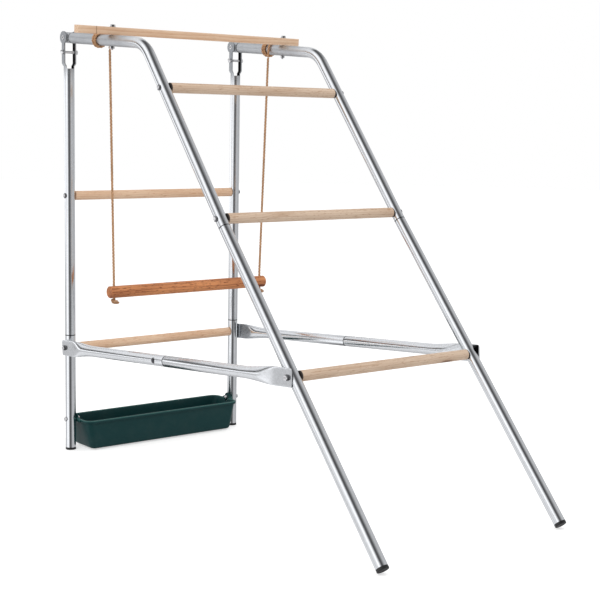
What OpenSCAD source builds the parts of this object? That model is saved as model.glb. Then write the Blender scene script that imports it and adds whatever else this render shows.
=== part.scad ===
// Free-standing perch for poultry.
// Two tube posts carry two bent rails that run down to the floor as a ladder.
// Wooden perches cross the frame, a rope swing hangs inside it and a feeding
// trough is bolted between the feet of the posts.
// X runs along the perches, the ladder faces -Y and Z is up, in millimetres.

/* [Tubes] */
// Outside diameter of every frame tube
tube_d = 25; // [19:0.5:32]
// Wall of every frame tube
tube_wall = 1.5; // [1:0.1:2.5]
// Length of the reduced neck that plugs into the next tube
neck_len = 46; // [36:1:70]
// Running clearance between a neck and the tube round it
neck_gap = 0.3; // [0.1:0.05:0.6]
// Width of the dark line left between two joined tubes
joint_gap = 0.8; // [0.3:0.1:2]

/* [Frame] */
// Distance between the axes of the two posts
frame_w = 480; // [360:5:700]
// Height of the rail pivots above the floor
pivot_z = 990; // [850:5:1200]
// Height of the joint between the lower and the upper tube of a post
post_joint_z = 282; // [270:1:420]
// Fall of the rails towards the ladder, in degrees
rail_fall = 3.7; // [0:0.1:8]
// Distance from the pivot to the corner where rail and ladder would meet
rail_len = 337; // [320:1:480]
// Length of rail behind the pivot
rail_back = 10; // [8:0.5:12]
// Radius of the bend on its centre line
bend_r = 80; // [55:1:110]
// Slope of the upper ladder tube below the horizontal, in degrees
ladder_slope = 50.8; // [45:0.1:62]
// How much flatter the lower ladder tube lies, in degrees
ladder_flare = 1.9; // [0:0.1:3]
// Distance down the ladder from the corner to the tube joint
ladder_joint = 488; // [475:1:560]

/* [Post heads] */
// Width of a fork arm
fork_w = 12; // [10:0.5:18]
// Thickness of a fork arm
fork_t = 3; // [2:0.1:3.5]
// Radius of the round lug round the pivot
lug_r = 14.5; // [11:0.5:16]
// Depth of the fork below the pivot
fork_depth = 72; // [60:1:90]
// Distance from the pivot down to the clamp bolt
clamp_drop = 34; // [30:0.5:40]
// Length of the spread where the post wall becomes a flat arm
fork_spread = 6; // [5:1:16]

/* [Braces] */
// Height of the brace bolt on the post
brace_z = 252; // [180:1:256]
// Distance from the post bolt to the joint in the brace
brace_joint = 454; // [300:1:560]
// Height of the flattened end
flat_h = 38; // [32:0.5:44]
// Thickness of the flattened end
flat_t = 3; // [2.5:0.1:4]
// Distance from the bolt to the tip of the flattened end
flat_tip = 12; // [10:0.5:18]
// Distance from the bolt to the start of the round tube
flat_run = 34; // [26:1:50]
// Length over which the tube is squeezed flat
flare_len = 34; // [24:1:50]
// Corner radius of the flattened end
flat_corner = 4; // [2:0.5:8]
// Distance from the brace joint back to its spring button
button_back = 37; // [20:1:40]
// Radius of the spring button
button_r = 4; // [3:0.1:5]
// How far the spring button stands out of the tube
button_out = 2.6; // [1.5:0.1:3.2]

/* [Perches] */
// Diameter of the ladder and rear perches
perch_d = 22; // [18:0.5:30]
// Distance down the ladder from the corner to the top perch
perch_1_down = 124; // [90:1:200]
// Distance down the ladder from the corner to the middle perch
perch_2_down = 466; // [455:1:472]
// Distance below the ladder joint to the bottom perch
perch_3_down = 359; // [280:1:460]
// Height of the upper rear perch
rear_perch_z = 619; // [480:1:800]
// Small gap between a perch end and the tube that it butts against
seat_gap = 0.2; // [0.1:0.05:0.4]
// Chamfer on the ends of the perches
perch_chamfer = 1; // [0.5:0.1:2]

/* [Beam] */
// Side of the square beam
beam_side = 17.5; // [16:0.5:30]
// Distance of the beam from the pivot along the rail
beam_at = 200; // [195:1:230]
// Overhang of the beam past its left bolt
beam_over_left = 92; // [60:1:140]
// Overhang of the beam past its right bolt
beam_over_right = 42; // [30:1:55]

/* [Swing] */
// Diameter of the swing bar
bar_d = 28; // [22:0.5:34]
// Length of the swing bar
bar_len = 444; // [300:1:444]
// Sideways offset of the swing bar towards the left
bar_shift = 4; // [0:0.5:4]
// Distance from the end of the bar to its rope hole
bar_hole_in = 12; // [10:0.5:20]
// Height of the swing bar
bar_z = 403; // [380:1:560]
// Diameter of the rope
rope_d = 6; // [4:0.5:7]
// Distance from the pivot to the rope along the rail
rope_at = 163; // [150:1:176]
// Advance of each turn of the lashing
lash_pitch = 7.4; // [7:0.1:10]
// Further advance of the slanting first half turn of the lashing
lash_reach = 11; // [8:0.5:24]
// Length of rope that hangs straight from the lashing
lash_drop = 18; // [14:0.5:24]
// Length of rope past the second turn of the lashing
lash_tail = 20; // [10:0.5:30]
// Diameter of the stopper knot under the bar
knot_d = 17; // [13:0.5:22]
// Height of the stopper knot
knot_h = 13; // [10:0.5:18]
// Rope end below the stopper knot
knot_tail = 12; // [6:0.5:24]

/* [Trough] */
// Depth of the trough over its rim, front to back
trough_w = 110; // [90:1:140]
// Height of the rim above the floor
trough_top = 75; // [60:1:78]
// Clearance between the trough and the floor
trough_lift = 3; // [1:0.5:10]
// Wall of the trough
trough_wall = 2.4; // [1.8:0.1:3.5]
// How far each long wall of the trough leans in towards its floor
trough_draft = 5; // [3:0.5:14]
// How far each end wall of the trough leans in towards its floor
trough_end_draft = 16; // [3:0.5:24]
// Corner radius of the trough at the mouth
trough_corner = 20; // [14:0.5:32]
// Width of the rolled rim
rim_w = 6; // [4:0.5:9]
// Height of the rolled rim
rim_h = 7; // [5:0.5:10]
// Height of the trough bolts above the floor
ear_z = 76; // [70:0.5:90]
// Radius of the ear round its bolt
ear_r = 12; // [10:0.5:16]
// Thickness of the ear
ear_t = 3; // [2:0.1:4]
// Width of the ear at the rim
ear_base = 44; // [30:1:70]

/* [Fasteners] */
// Diameter of the hexagon bolts
bolt_d = 6; // [5:0.5:8]
// Width across flats of the bolt heads and nuts
bolt_af = 10; // [8:0.5:13]
// Height of the bolt heads
bolt_head_h = 4; // [3:0.5:6]
// Height of the nuts
nut_h = 5; // [4:0.5:7]
// Diameter of the washers
washer_d = 13; // [11:0.5:18]
// Thickness of the washers
washer_t = 1.2; // [0.8:0.1:2]
// Diameter of the wood screws
screw_d = 4; // [3:0.5:5]
// Diameter of the wood screw heads
screw_head_d = 9; // [7:0.5:11]
// Height of the wood screw heads
screw_head_h = 2.8; // [2:0.1:4]
// Depth that screws and bolts run into a wooden perch
bite = 32; // [20:1:50]
// Clearance round a bolt or screw in its hole
hole_gap = 0.1; // [0.05:0.05:0.3]
// Diameter of the head of the pivot rivet
rivet_head_d = 11; // [9:0.5:14]
// Height of the head of the pivot rivet
rivet_head_h = 1.6; // [1:0.1:3]

/* [Feet] */
// Thickness of the foot cap below the tube
cap_h = 6; // [4:0.5:12]
// Edge rounding of the foot cap
cap_edge = 1; // [0.5:0.1:2]
// Length of the foot cap inside the tube
plug_len = 18; // [10:1:30]

/* [Hidden] */
$fn = 64;

// Colours
steel = "silver";
pale_wood = "burlywood";
brown_wood = "peru";
trough_green = "darkslategray";
black_plastic = "#1c1c1c";
rope_tan = "tan";

tube_r = tube_d / 2;
bore_r = tube_r - tube_wall;
neck_r = bore_r - neck_gap;
slip = 0.3;
cut_over = 1;
// Thickness of the slices between which a blend runs
slab_t = 0.5;
side_x = frame_w / 2;
bolt_r = bolt_d / 2;
screw_r = screw_d / 2;
rope_r = rope_d / 2;
lower_slope = ladder_slope - ladder_flare;
turn = ladder_slope - rail_fall;
bend_tangent = bend_r * tan(turn / 2);
bend_draw = 0.05;
bend_lap = 0.4;

// Points in the side view are [y, z], a slope is measured below the horizontal
pivot = [0, pivot_z];
function down(p, slope, run, rise = 0) =
  [p[0] - run * cos(slope) - rise * sin(slope), p[1] - run * sin(slope) + rise * cos(slope)];
corner = down(pivot, rail_fall, rail_len);
ladder_split = down(corner, ladder_slope, ladder_joint);
perch_1 = down(corner, ladder_slope, perch_1_down);
perch_2 = down(corner, ladder_slope, perch_2_down);
perch_3 = down(ladder_split, lower_slope, perch_3_down);
// The lowest point of a leaning cap is the outer edge of its underside
cap_reach = max((tube_r - cap_edge) * cos(lower_slope),
                tube_r * cos(lower_slope) - cap_edge * sin(lower_slope));
ladder_end_len = (ladder_split[1] - cap_reach) / sin(lower_slope);
ladder_foot = down(ladder_split, lower_slope, ladder_end_len);

brace_start = [0, brace_z];
brace_rise = atan2(perch_3[1] - brace_z, -perch_3[0]);
brace_len = norm(perch_3 - brace_start);
brace_x = side_x + tube_r + slip + flat_t / 2;
button_flange = 1;
flange_t = 1.6;
outer_face = tube_r + seat_gap;
plate_face = tube_r + slip + flat_t;

lash_r = tube_r + slip + rope_r;
rope_x = side_x - lash_r;
swing_pivot = down(pivot, rail_fall, rope_at, -lash_drop - rope_r - slip);
bar_end_x = bar_len / 2 - bar_hole_in;
fork_gap = tube_r + slip;

trough_rise = trough_top - trough_lift;
ear_x = side_x - tube_r - seat_gap;
trough_len = 2 * ear_x - ear_t;
rim_notch = 2 * rim_w;
nut_room = 3;
nut_room_r = bolt_af / sqrt(3) + nut_room;

// The box of the whole perch stands centred on the origin
box_x = [-side_x - beam_over_left, side_x + beam_over_right];
cap_front = max(tube_r * sin(lower_slope) - cap_edge * cos(lower_slope),
                (tube_r - cap_edge) * sin(lower_slope));
box_y = [ladder_foot[0] - cap_front, max(trough_w / 2, lug_r)];
origin_x = -(box_x[0] + box_x[1]) / 2;
origin_y = -(box_y[0] + box_y[1]) / 2;

module placed() {
  translate([origin_x, origin_y, 0]) children();
}

// Local +Z runs down the slope and local +Y is its upper side
module on_slope(p, slope) {
  translate([0, p[0], p[1]]) rotate([90 + slope, 0, 0]) children();
}

module at_side(s) {
  translate([s * side_x, 0, 0]) children();
}

// Local +Z points out of the frame on side s, from the axis of the tube there
module outward(s, p) {
  translate([s * side_x, p[0], p[1]]) rotate([0, s * 90, 0]) children();
}

// Fasteners stand with the underside of the head at z = 0 and the shank below
module hex_bolt(len) {
  cylinder(h = bolt_head_h, d = bolt_af / cos(30), $fn = 6);
  translate([0, 0, -len]) cylinder(h = len + bolt_head_h / 2, r = bolt_r);
}

module hex_nut() {
  difference() {
    cylinder(h = nut_h, d = bolt_af / cos(30), $fn = 6);
    translate([0, 0, -cut_over]) cylinder(h = nut_h + 2 * cut_over, r = bolt_r + hole_gap);
  }
}

module washer(hole_r) {
  difference() {
    cylinder(h = washer_t, d = washer_d);
    translate([0, 0, -cut_over]) cylinder(h = washer_t + 2 * cut_over, r = hole_r + hole_gap);
  }
}

module wood_screw(len) {
  difference() {
    union() {
      cylinder(h = screw_head_h * 0.5, d = screw_head_d);
      translate([0, 0, screw_head_h * 0.5])
        cylinder(h = screw_head_h * 0.5, d1 = screw_head_d, d2 = screw_head_d * 0.7);
      translate([0, 0, -len]) cylinder(h = len + screw_head_h / 2, r = screw_r);
      translate([0, 0, -len - screw_d]) cylinder(h = screw_d, r1 = screw_r * 0.2, r2 = screw_r);
    }
    for (a = [0, 90]) rotate([0, 0, a])
      translate([-screw_head_d / 4, -screw_d / 10, screw_head_h * 0.4])
        cube([screw_head_d / 2, screw_d / 5, screw_head_h]);
  }
}

// Tubes
// A straight bored tube along +Z from a to b
module tube_run(a, b) {
  translate([0, 0, a]) linear_extrude(b - a) tube_ring();
}

module tube_ring() {
  difference() {
    circle(r = tube_r);
    circle(r = bore_r);
  }
}

// A tube from 0 to len with the reduced neck standing above it
module necked_tube(len) {
  difference() {
    union() {
      cylinder(h = len, r = tube_r);
      translate([0, 0, len - cut_over]) cylinder(h = neck_len + joint_gap + cut_over, r = neck_r);
    }
    translate([0, 0, -cut_over]) cylinder(h = len + cut_over - tube_wall, r = bore_r);
    translate([0, 0, -cut_over])
      cylinder(h = len + neck_len + joint_gap + 3 * cut_over, r = neck_r - tube_wall);
  }
}

// A cross hole through both walls of a tube on side s
module cross_hole(s, p, r) {
  translate([s * side_x, p[0], p[1]]) rotate([0, 90, 0])
    cylinder(h = tube_d * 3, r = r + hole_gap, center = true);
}

module fork_arm(x) {
  fork_foot = pivot_z - fork_depth;
  spread_top = fork_foot + 2 * fork_spread;
  foot_in = fork_t - slip;
  difference() {
    union() {
      translate([x > 0 ? fork_gap : -fork_gap - fork_t, -fork_w / 2, spread_top])
        cube([fork_t, fork_w, pivot_z - spread_top]);
      translate([x > 0 ? fork_gap : -fork_gap - fork_t, 0, pivot_z]) rotate([0, 90, 0])
        cylinder(h = fork_t, r = lug_r);
      hull() {
        translate([x > 0 ? fork_gap : -fork_gap - fork_t, -fork_w / 2, spread_top])
          cube([fork_t, fork_w, slab_t]);
        translate([x > 0 ? tube_r - fork_t : slip - tube_r, -fork_w / 2, fork_foot + fork_spread])
          cube([foot_in, fork_w, slab_t]);
      }
      intersection() {
        translate([x > 0 ? 0 : -tube_d, -fork_w / 2, fork_foot - cut_over])
          cube([tube_d, fork_w, fork_spread + cut_over + slab_t]);
        translate([0, 0, fork_foot - 2 * cut_over])
          tube_run(0, fork_spread * 2);
      }
    }
    translate([0, 0, pivot_z]) rotate([0, 90, 0])
      cylinder(h = tube_d * 3, r = bolt_r + hole_gap, center = true);
    translate([0, 0, pivot_z - clamp_drop]) rotate([0, 90, 0])
      cylinder(h = tube_d * 3, r = bolt_r + hole_gap, center = true);
  }
}

module post_upper(s) {
  color(steel) placed() difference() {
    at_side(s) union() {
      translate([0, 0, post_joint_z + joint_gap])
        tube_run(0, pivot_z - fork_depth - post_joint_z - joint_gap);
      fork_arm(1);
      fork_arm(-1);
    }
    cross_hole(s, [0, rear_perch_z], screw_r);
  }
}

module post_lower(s) {
  color(steel) placed() difference() {
    at_side(s) translate([0, 0, cap_h]) necked_tube(post_joint_z - cap_h);
    cross_hole(s, brace_start, bolt_r);
    cross_hole(s, [0, ear_z], bolt_r);
  }
}

// A rod of radius r bent about the origin, with the rail at the start of the bend
// and the upper ladder tube at its end. Bending draws the tube in a little, and the
// straight runs reach a short way over the bend
module bent_rod(r, over) {
  rotate_extrude(angle = turn) translate([bend_r, 0]) circle(r = r - bend_draw);
  translate([bend_r, bend_lap, 0]) rotate([90, 0, 0])
    cylinder(h = rail_back + rail_len - bend_tangent + bend_lap + over, r = r);
  rotate([0, 0, turn]) translate([bend_r, -bend_lap, 0]) rotate([-90, 0, 0])
    cylinder(h = ladder_joint - bend_tangent + bend_lap + over, r = r);
}

module rail_body() {
  on_slope(pivot, rail_fall) translate([0, -bend_r, rail_len - bend_tangent])
    rotate([90, 0, 90]) difference() {
      bent_rod(tube_r, 0);
      bent_rod(bore_r, cut_over);
    }
}

module beam_bolt_hole(s) {
  at_side(s) on_slope(pivot, rail_fall) translate([0, 0, beam_at]) rotate([-90, 0, 0])
    cylinder(h = tube_d * 3, r = bolt_r + hole_gap, center = true);
}

module rail(s) {
  color(steel) placed() difference() {
    at_side(s) rail_body();
    cross_hole(s, pivot, bolt_r);
    cross_hole(s, perch_1, screw_r);
    cross_hole(s, perch_2, screw_r);
    beam_bolt_hole(s);
  }
}

// The neck points up along the upper tube while the body leans on down to the floor
module ladder_tube(s) {
  color(steel) placed() difference() {
    at_side(s) {
      difference() {
        union() {
          on_slope(ladder_split, lower_slope) translate([0, 0, joint_gap])
            cylinder(h = ladder_end_len - cap_h - joint_gap, r = tube_r);
          on_slope(ladder_split, ladder_slope) translate([0, 0, -neck_len])
            cylinder(h = neck_len + joint_gap + 2 * cut_over, r = neck_r);
        }
        on_slope(ladder_split, lower_slope) translate([0, 0, joint_gap + tube_wall])
          cylinder(h = ladder_end_len, r = bore_r);
        on_slope(ladder_split, ladder_slope) translate([0, 0, -neck_len - cut_over])
          cylinder(h = neck_len + joint_gap + 4 * cut_over, r = neck_r - tube_wall);
      }
    }
    cross_hole(s, perch_2, screw_r);
    cross_hole(s, perch_3, bolt_r);
  }
}

// Braces
// The flattened end lies in the plane of the side, with its bolt hole at the origin
module flat_end() {
  run = flat_tip + flat_run;
  difference() {
    union() {
      rotate([0, 90, 0]) translate([0, 0, -flat_t / 2]) linear_extrude(flat_t) {
        translate([-flat_run, -flat_h / 2 + flat_corner]) square([run, flat_h - 2 * flat_corner]);
        translate([-flat_run, -flat_h / 2]) square([run - flat_corner, flat_h]);
        for (y = [-1, 1]) translate([flat_tip - flat_corner, y * (flat_h / 2 - flat_corner)])
          circle(r = flat_corner);
      }
      hull() {
        translate([-flat_t / 2, -flat_h / 2, flat_run - slab_t]) cube([flat_t, flat_h, slab_t]);
        translate([0, 0, flat_run + flare_len]) cylinder(h = slab_t, r = tube_r, $fn = 32);
      }
    }
    rotate([0, 90, 0]) cylinder(h = tube_d, r = bolt_r + hole_gap, center = true);
  }
}

module on_brace(s) {
  translate([s * brace_x, 0, 0]) on_slope(brace_start, -brace_rise) children();
}

module button_hole(s, r) {
  translate([0, 0, brace_joint - button_back]) rotate([0, s * 90, 0]) cylinder(h = tube_d, r = r);
}

module brace_rear(s) {
  tube_from = flat_run + flare_len;
  color(steel) placed() on_brace(s) difference() {
    union() {
      flat_end();
      translate([0, 0, tube_from]) tube_run(0, brace_joint - tube_from);
    }
    button_hole(s, button_r + slip);
  }
}

module brace_front(s) {
  tube_to = brace_len - flat_run - flare_len;
  color(steel) placed() on_brace(s) difference() {
    union() {
      translate([0, 0, brace_len]) rotate([0, 180, 0]) flat_end();
      difference() {
        translate([0, 0, brace_joint + joint_gap])
          cylinder(h = tube_to - brace_joint - joint_gap, r = tube_r);
        translate([0, 0, brace_joint + joint_gap + tube_wall])
          cylinder(h = tube_to - brace_joint, r = bore_r);
        translate([0, 0, brace_joint]) cylinder(h = 3 * tube_wall, r = neck_r - tube_wall);
      }
      difference() {
        translate([0, 0, brace_joint - neck_len])
          cylinder(h = neck_len + joint_gap + tube_wall, r = neck_r);
        translate([0, 0, brace_joint - neck_len - cut_over])
          cylinder(h = neck_len + joint_gap + tube_wall + 2 * cut_over, r = neck_r - tube_wall);
      }
    }
    button_hole(s, button_r + slip);
  }
}

// A domed button whose flange stops it behind the wall of the neck
module brace_button(s) {
  flange_r = button_r + button_flange;
  seat = sqrt(pow(neck_r - tube_wall, 2) - pow(flange_r, 2)) - slip;
  dome_from = tube_r + button_out / 2;
  dome_r = 1.5 * button_r;
  color(steel) placed() on_brace(s) translate([0, 0, brace_joint - button_back])
    rotate([0, s * 90, 0]) {
      translate([0, 0, seat - flange_t]) cylinder(h = flange_t, r = flange_r);
      translate([0, 0, seat - flange_t]) cylinder(h = dome_from - seat + flange_t, r = button_r);
      translate([0, 0, dome_from]) intersection() {
        translate([0, 0, button_out / 2 - dome_r]) sphere(r = dome_r);
        cylinder(h = button_out, r = button_r);
      }
    }
}

// Feet
// The cap lies with its outer face at z = 0 and its plug above
module foot_cap() {
  rotate_extrude() polygon([
    [0, 0], [tube_r - cap_edge, 0], [tube_r, cap_edge], [tube_r, cap_h - joint_gap / 4],
    [bore_r - neck_gap, cap_h - joint_gap / 4], [bore_r - neck_gap, cap_h + plug_len - 2],
    [bore_r - neck_gap - 1.5, cap_h + plug_len], [bore_r - 3.5, cap_h + plug_len],
    [bore_r - 3.5, cap_h], [0, cap_h]
  ]);
}

module rear_feet() {
  color(black_plastic) placed() for (s = [-1, 1]) at_side(s) foot_cap();
}

module front_foot(s) {
  color(black_plastic) placed() at_side(s)
    on_slope(ladder_foot, lower_slope) rotate([0, 180, 0]) foot_cap();
}

// Perches
// A round perch between the tubes, bored at both ends for its screws
module perch(p, pilot_r) {
  half = side_x - tube_r - seat_gap;
  translate([0, p[0], p[1]]) rotate([0, 90, 0]) difference() {
    union() {
      translate([0, 0, -half + perch_chamfer])
        cylinder(h = 2 * (half - perch_chamfer), d = perch_d);
      for (m = [0, 1]) mirror([0, 0, m]) translate([0, 0, half - perch_chamfer])
        cylinder(h = perch_chamfer, d1 = perch_d, d2 = perch_d - 2 * perch_chamfer);
    }
    for (m = [0, 1]) mirror([0, 0, m]) translate([0, 0, half - bite - screw_d])
      cylinder(h = bite + screw_d + cut_over, r = pilot_r + hole_gap);
  }
}

module perch_top() {
  color(pale_wood) placed() perch(perch_1, screw_r);
}

module perch_middle() {
  color(pale_wood) placed() perch(perch_2, screw_r);
}

module perch_bottom() {
  color(pale_wood) placed() perch(perch_3, bolt_r);
}

module rear_perch_upper() {
  color(pale_wood) placed() perch([0, rear_perch_z], screw_r);
}

module rear_perch_lower() {
  color(pale_wood) placed() perch(brace_start, bolt_r);
}

module top_beam() {
  seat = tube_r + seat_gap;
  color(pale_wood) placed() difference() {
    on_slope(pivot, rail_fall)
      translate([-side_x - beam_over_left, seat, beam_at - beam_side / 2])
        cube([frame_w + beam_over_left + beam_over_right, beam_side, beam_side]);
    for (s = [-1, 1]) beam_bolt_hole(s);
  }
}

// Fasteners
module perch_screws() {
  color(steel) placed() for (s = [-1, 1], p = [perch_1, perch_2, [0, rear_perch_z]])
    outward(s, p) translate([0, 0, outer_face + washer_t + seat_gap])
      wood_screw(outer_face + washer_t + tube_r + bite - screw_d);
}

module perch_screw_washers() {
  color(steel) placed() for (s = [-1, 1], p = [perch_1, perch_2, [0, rear_perch_z]])
    outward(s, p) translate([0, 0, outer_face]) washer(screw_r);
}

module brace_bolts() {
  color(steel) placed() for (s = [-1, 1], p = [brace_start, perch_3])
    outward(s, p) translate([0, 0, plate_face + washer_t + 2 * seat_gap])
      hex_bolt(plate_face + washer_t + tube_r + bite);
}

module brace_bolt_washers() {
  color(steel) placed() for (s = [-1, 1], p = [brace_start, perch_3])
    outward(s, p) translate([0, 0, plate_face + seat_gap]) washer(bolt_r);
}

// Local +Z stands up out of the rail at the bolt
module at_beam_bolt(s) {
  at_side(s) on_slope(pivot, rail_fall) translate([0, 0, beam_at]) rotate([-90, 0, 0]) children();
}

module beam_bolts() {
  head_at = outer_face + beam_side + washer_t + 2 * seat_gap;
  color(steel) placed() for (s = [-1, 1]) at_beam_bolt(s) translate([0, 0, head_at])
    hex_bolt(head_at + outer_face + nut_h + bolt_r);
}

module beam_bolt_washers() {
  color(steel) placed() for (s = [-1, 1]) at_beam_bolt(s)
    translate([0, 0, outer_face + beam_side + seat_gap]) washer(bolt_r);
}

module beam_nuts() {
  color(steel) placed() for (s = [-1, 1]) at_beam_bolt(s)
    translate([0, 0, -outer_face - nut_h]) hex_nut();
}

// A tubular rivet with a low head on each lug
module pivot_rivets() {
  lug_face = fork_gap + fork_t + seat_gap;
  color(steel) placed() for (s = [-1, 1]) outward(s, pivot) difference() {
    union() {
      translate([0, 0, -lug_face]) cylinder(h = 2 * lug_face, r = bolt_r);
      for (m = [0, 1]) mirror([0, 0, m]) translate([0, 0, lug_face])
        cylinder(h = rivet_head_h, d1 = rivet_head_d, d2 = rivet_head_d - 2 * rivet_head_h);
    }
    cylinder(h = 4 * tube_d, r = bolt_r / 2, center = true);
  }
}

module clamp_bolts() {
  head_at = fork_gap + fork_t + seat_gap;
  color(steel) placed() for (s = [-1, 1]) outward(s, down(pivot, 90, clamp_drop))
    translate([0, 0, head_at]) hex_bolt(2 * head_at + nut_h + bolt_r / 2);
}

module clamp_nuts() {
  head_at = fork_gap + fork_t + seat_gap;
  color(steel) placed() for (s = [-1, 1]) outward(s, down(pivot, 90, clamp_drop))
    translate([0, 0, -head_at - nut_h]) hex_nut();
}

// Feeding trough
module round_corners(l, w, r) {
  for (x = [-1, 1], y = [-1, 1]) translate([x * (l / 2 - r), y * (w / 2 - r)]) circle(r = r);
  square([l - 2 * r, w], center = true);
  square([l, w - 2 * r], center = true);
}

// A tapered block that is l by w at its top and draws in towards its floor
module tapered_block(l, w, h, r) {
  translate([0, 0, h]) mirror([0, 0, 1])
    linear_extrude(height = h, slices = 1, scale = [1 - 2 * trough_end_draft / l, 1 - 2 * trough_draft / w])
      round_corners(l, w, r, $fn = 32);
}

// One rolled profile, swept straight along the sides and turned round the corners
module rim_profile() {
  difference() {
    union() {
      translate([-trough_wall, -trough_wall]) square([rim_w, trough_wall]);
      translate([rim_w - 2 * trough_wall, -rim_h]) square([trough_wall, rim_h]);
    }
    translate([rim_w - trough_wall - 1, -1]) difference() {
      square([2, 2]);
      circle(r = 1);
    }
  }
}

module trough_rim(l, w, r) {
  for (x = [0, 1], y = [0, 1]) mirror([x, 0, 0]) mirror([0, y, 0])
    translate([l / 2 - r, w / 2 - r, 0]) rotate_extrude(angle = 90) translate([r, 0]) rim_profile();
  for (y = [0, 1]) mirror([0, y, 0]) translate([-l / 2 + r, w / 2, 0])
    rotate([90, 0, 90]) linear_extrude(l - 2 * r) rim_profile();
  for (x = [0, 1]) mirror([x, 0, 0]) translate([l / 2, w / 2 - r, 0])
    rotate([90, 0, 0]) linear_extrude(w - 2 * r) rim_profile();
}

module trough_ear(s) {
  shoulder = ear_r * 0.3;
  difference() {
    translate([s > 0 ? ear_x : ear_t - ear_x, 0, 0]) rotate([0, -90, 0]) linear_extrude(ear_t) {
      translate([ear_z, 0]) circle(r = ear_r);
      polygon([
        [trough_top - rim_h, -ear_base / 2], [trough_top, -ear_base / 2],
        [ear_z + shoulder, -sqrt(ear_r * ear_r - shoulder * shoulder)],
        [ear_z + shoulder, sqrt(ear_r * ear_r - shoulder * shoulder)],
        [trough_top, ear_base / 2], [trough_top - rim_h, ear_base / 2]
      ]);
    }
    translate([s * ear_x, 0, ear_z]) rotate([0, 90, 0])
      cylinder(h = 4 * ear_t, r = bolt_r + hole_gap, center = true);
  }
}

// The rim is notched at each end, which leaves room for a nut on the ear
module feeding_trough() {
  inner_l = trough_len - 2 * (rim_w - trough_wall);
  inner_w = trough_w - 2 * (rim_w - trough_wall);
  color(trough_green) placed() {
    difference() {
      union() {
        translate([0, 0, trough_lift]) difference() {
          tapered_block(inner_l, inner_w, trough_rise, trough_corner);
          translate([0, 0, trough_wall])
            tapered_block(inner_l - 2 * trough_wall, inner_w - 2 * trough_wall, trough_rise,
                          trough_corner - trough_wall);
        }
        translate([0, 0, trough_top]) trough_rim(inner_l, inner_w, trough_corner);
      }
      for (s = [-1, 1]) outward(s, [0, ear_z]) translate([0, 0, -tube_r - seat_gap - ear_t - rim_notch])
        cylinder(h = rim_notch + ear_t, r = nut_room_r);
    }
    for (s = [-1, 1]) trough_ear(s);
  }
}

module trough_bolts() {
  grip = outer_face + tube_r + seat_gap + ear_t + seat_gap;
  color(steel) placed() for (s = [-1, 1]) outward(s, [0, ear_z])
    translate([0, 0, outer_face]) hex_bolt(grip + nut_h + bolt_r);
}

module trough_nuts() {
  color(steel) placed() for (s = [-1, 1]) outward(s, [0, ear_z])
    translate([0, 0, -tube_r - seat_gap - ear_t - seat_gap - nut_h]) hex_nut();
}

// Ropes
// A tube of given radii along a list of points, its rings turned by a fixed direction
function unit(v) = v / norm(v);
function along(path, i) =
  let (last = len(path) - 1) unit(path[min(i + 1, last)] - path[max(i - 1, 0)]);
function ring(path, i, r, sides, ref) =
  let (t = along(path, i), a = unit(ref - (ref * t) * t), b = cross(t, a))
  [for (k = [0:sides - 1]) path[i] + r * (cos(360 * k / sides) * a + sin(360 * k / sides) * b)];

module swept_rope(path, radii, sides, ref) {
  rings = len(path);
  points = [for (i = [0:rings - 1]) each ring(path, i, radii[i], sides, ref)];
  first = [for (k = [0:sides - 1]) k];
  faces = concat(
    [for (k = [1:sides - 2]) [0, k, k + 1]],
    [for (k = [1:sides - 2]) [sides * (rings - 1), sides * (rings - 1) + k + 1, sides * (rings - 1) + k]],
    [for (i = [0:rings - 2], k = first) [i * sides + k, (i + 1) * sides + k, i * sides + (k + 1) % sides]],
    [for (i = [0:rings - 2], k = first)
      [i * sides + (k + 1) % sides, (i + 1) * sides + k, (i + 1) * sides + (k + 1) % sides]]
  );
  polyhedron(points = points, faces = faces);
}

// The lashing climbs from the hanging rope, slants back over the rail, goes round twice
// and ends on top of the rail
lash_steps = 24;
lash_turns = 2 + lash_tail / (2 * PI * lash_r);
function smooth(t) = let (c = max(0, min(1, t))) c * c * (3 - 2 * c);
function lash_back(u) = lash_pitch * u + lash_reach * smooth(2 * u);
function lash_point(s, u) =
  [-s * lash_r * cos(360 * u), lash_r * sin(360 * u), rope_at - lash_back(u)];
lash_count = floor(lash_steps * lash_turns);
function lash_path(s) = concat(
  [for (d = [1, 0.66, 0.33]) [-s * lash_r, -lash_drop * d, rope_at]],
  [for (i = [0:lash_count]) lash_point(s, lash_turns * i / lash_count)]
);
lash_gap = min([for (i = [0:lash_count - lash_steps])
  norm(lash_point(1, i / lash_steps + 1) - lash_point(1, i / lash_steps))]) - rope_d;
echo(least_gap_in_lashing = lash_gap);

module rope_lashing(s) {
  path = lash_path(s);
  color(rope_tan) placed() at_side(s) on_slope(pivot, rail_fall)
    swept_rope(path, [for (p = path) rope_r], 6, [0, 0, 1]);
}

// The hanging rope has a round top that turns on the swing's axis
rope_rings = 34;
rope_foot_z = bar_z - bar_d / 2 - seat_gap;
function rope_top(s) = [s * rope_x, swing_pivot[0], swing_pivot[1]];
function rope_bottom(s) = [s * bar_end_x - bar_shift, swing_pivot[0], rope_foot_z];

module swing_rope(s) {
  top = rope_top(s);
  bar_top = rope_bottom(s) + [0, 0, bar_d + 2 * rope_d];
  dir = unit(bar_top - top);
  caps = [for (k = [0.9, 0.55, 0.28]) 90 * k];
  path = concat(
    [for (a = caps) top - dir * rope_r * sin(a)],
    [for (i = [0:rope_rings - 1]) top + (bar_top - top) * i / (rope_rings - 1)],
    [for (d = [0.5, 1]) bar_top + (rope_bottom(s) - bar_top) * d]
  );
  radii = concat([for (a = caps) rope_r * cos(a)], [for (i = [0:rope_rings + 1]) rope_r]);
  color(rope_tan) placed() swept_rope(path, radii, 8, [0, 1, 0]);
}

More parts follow.
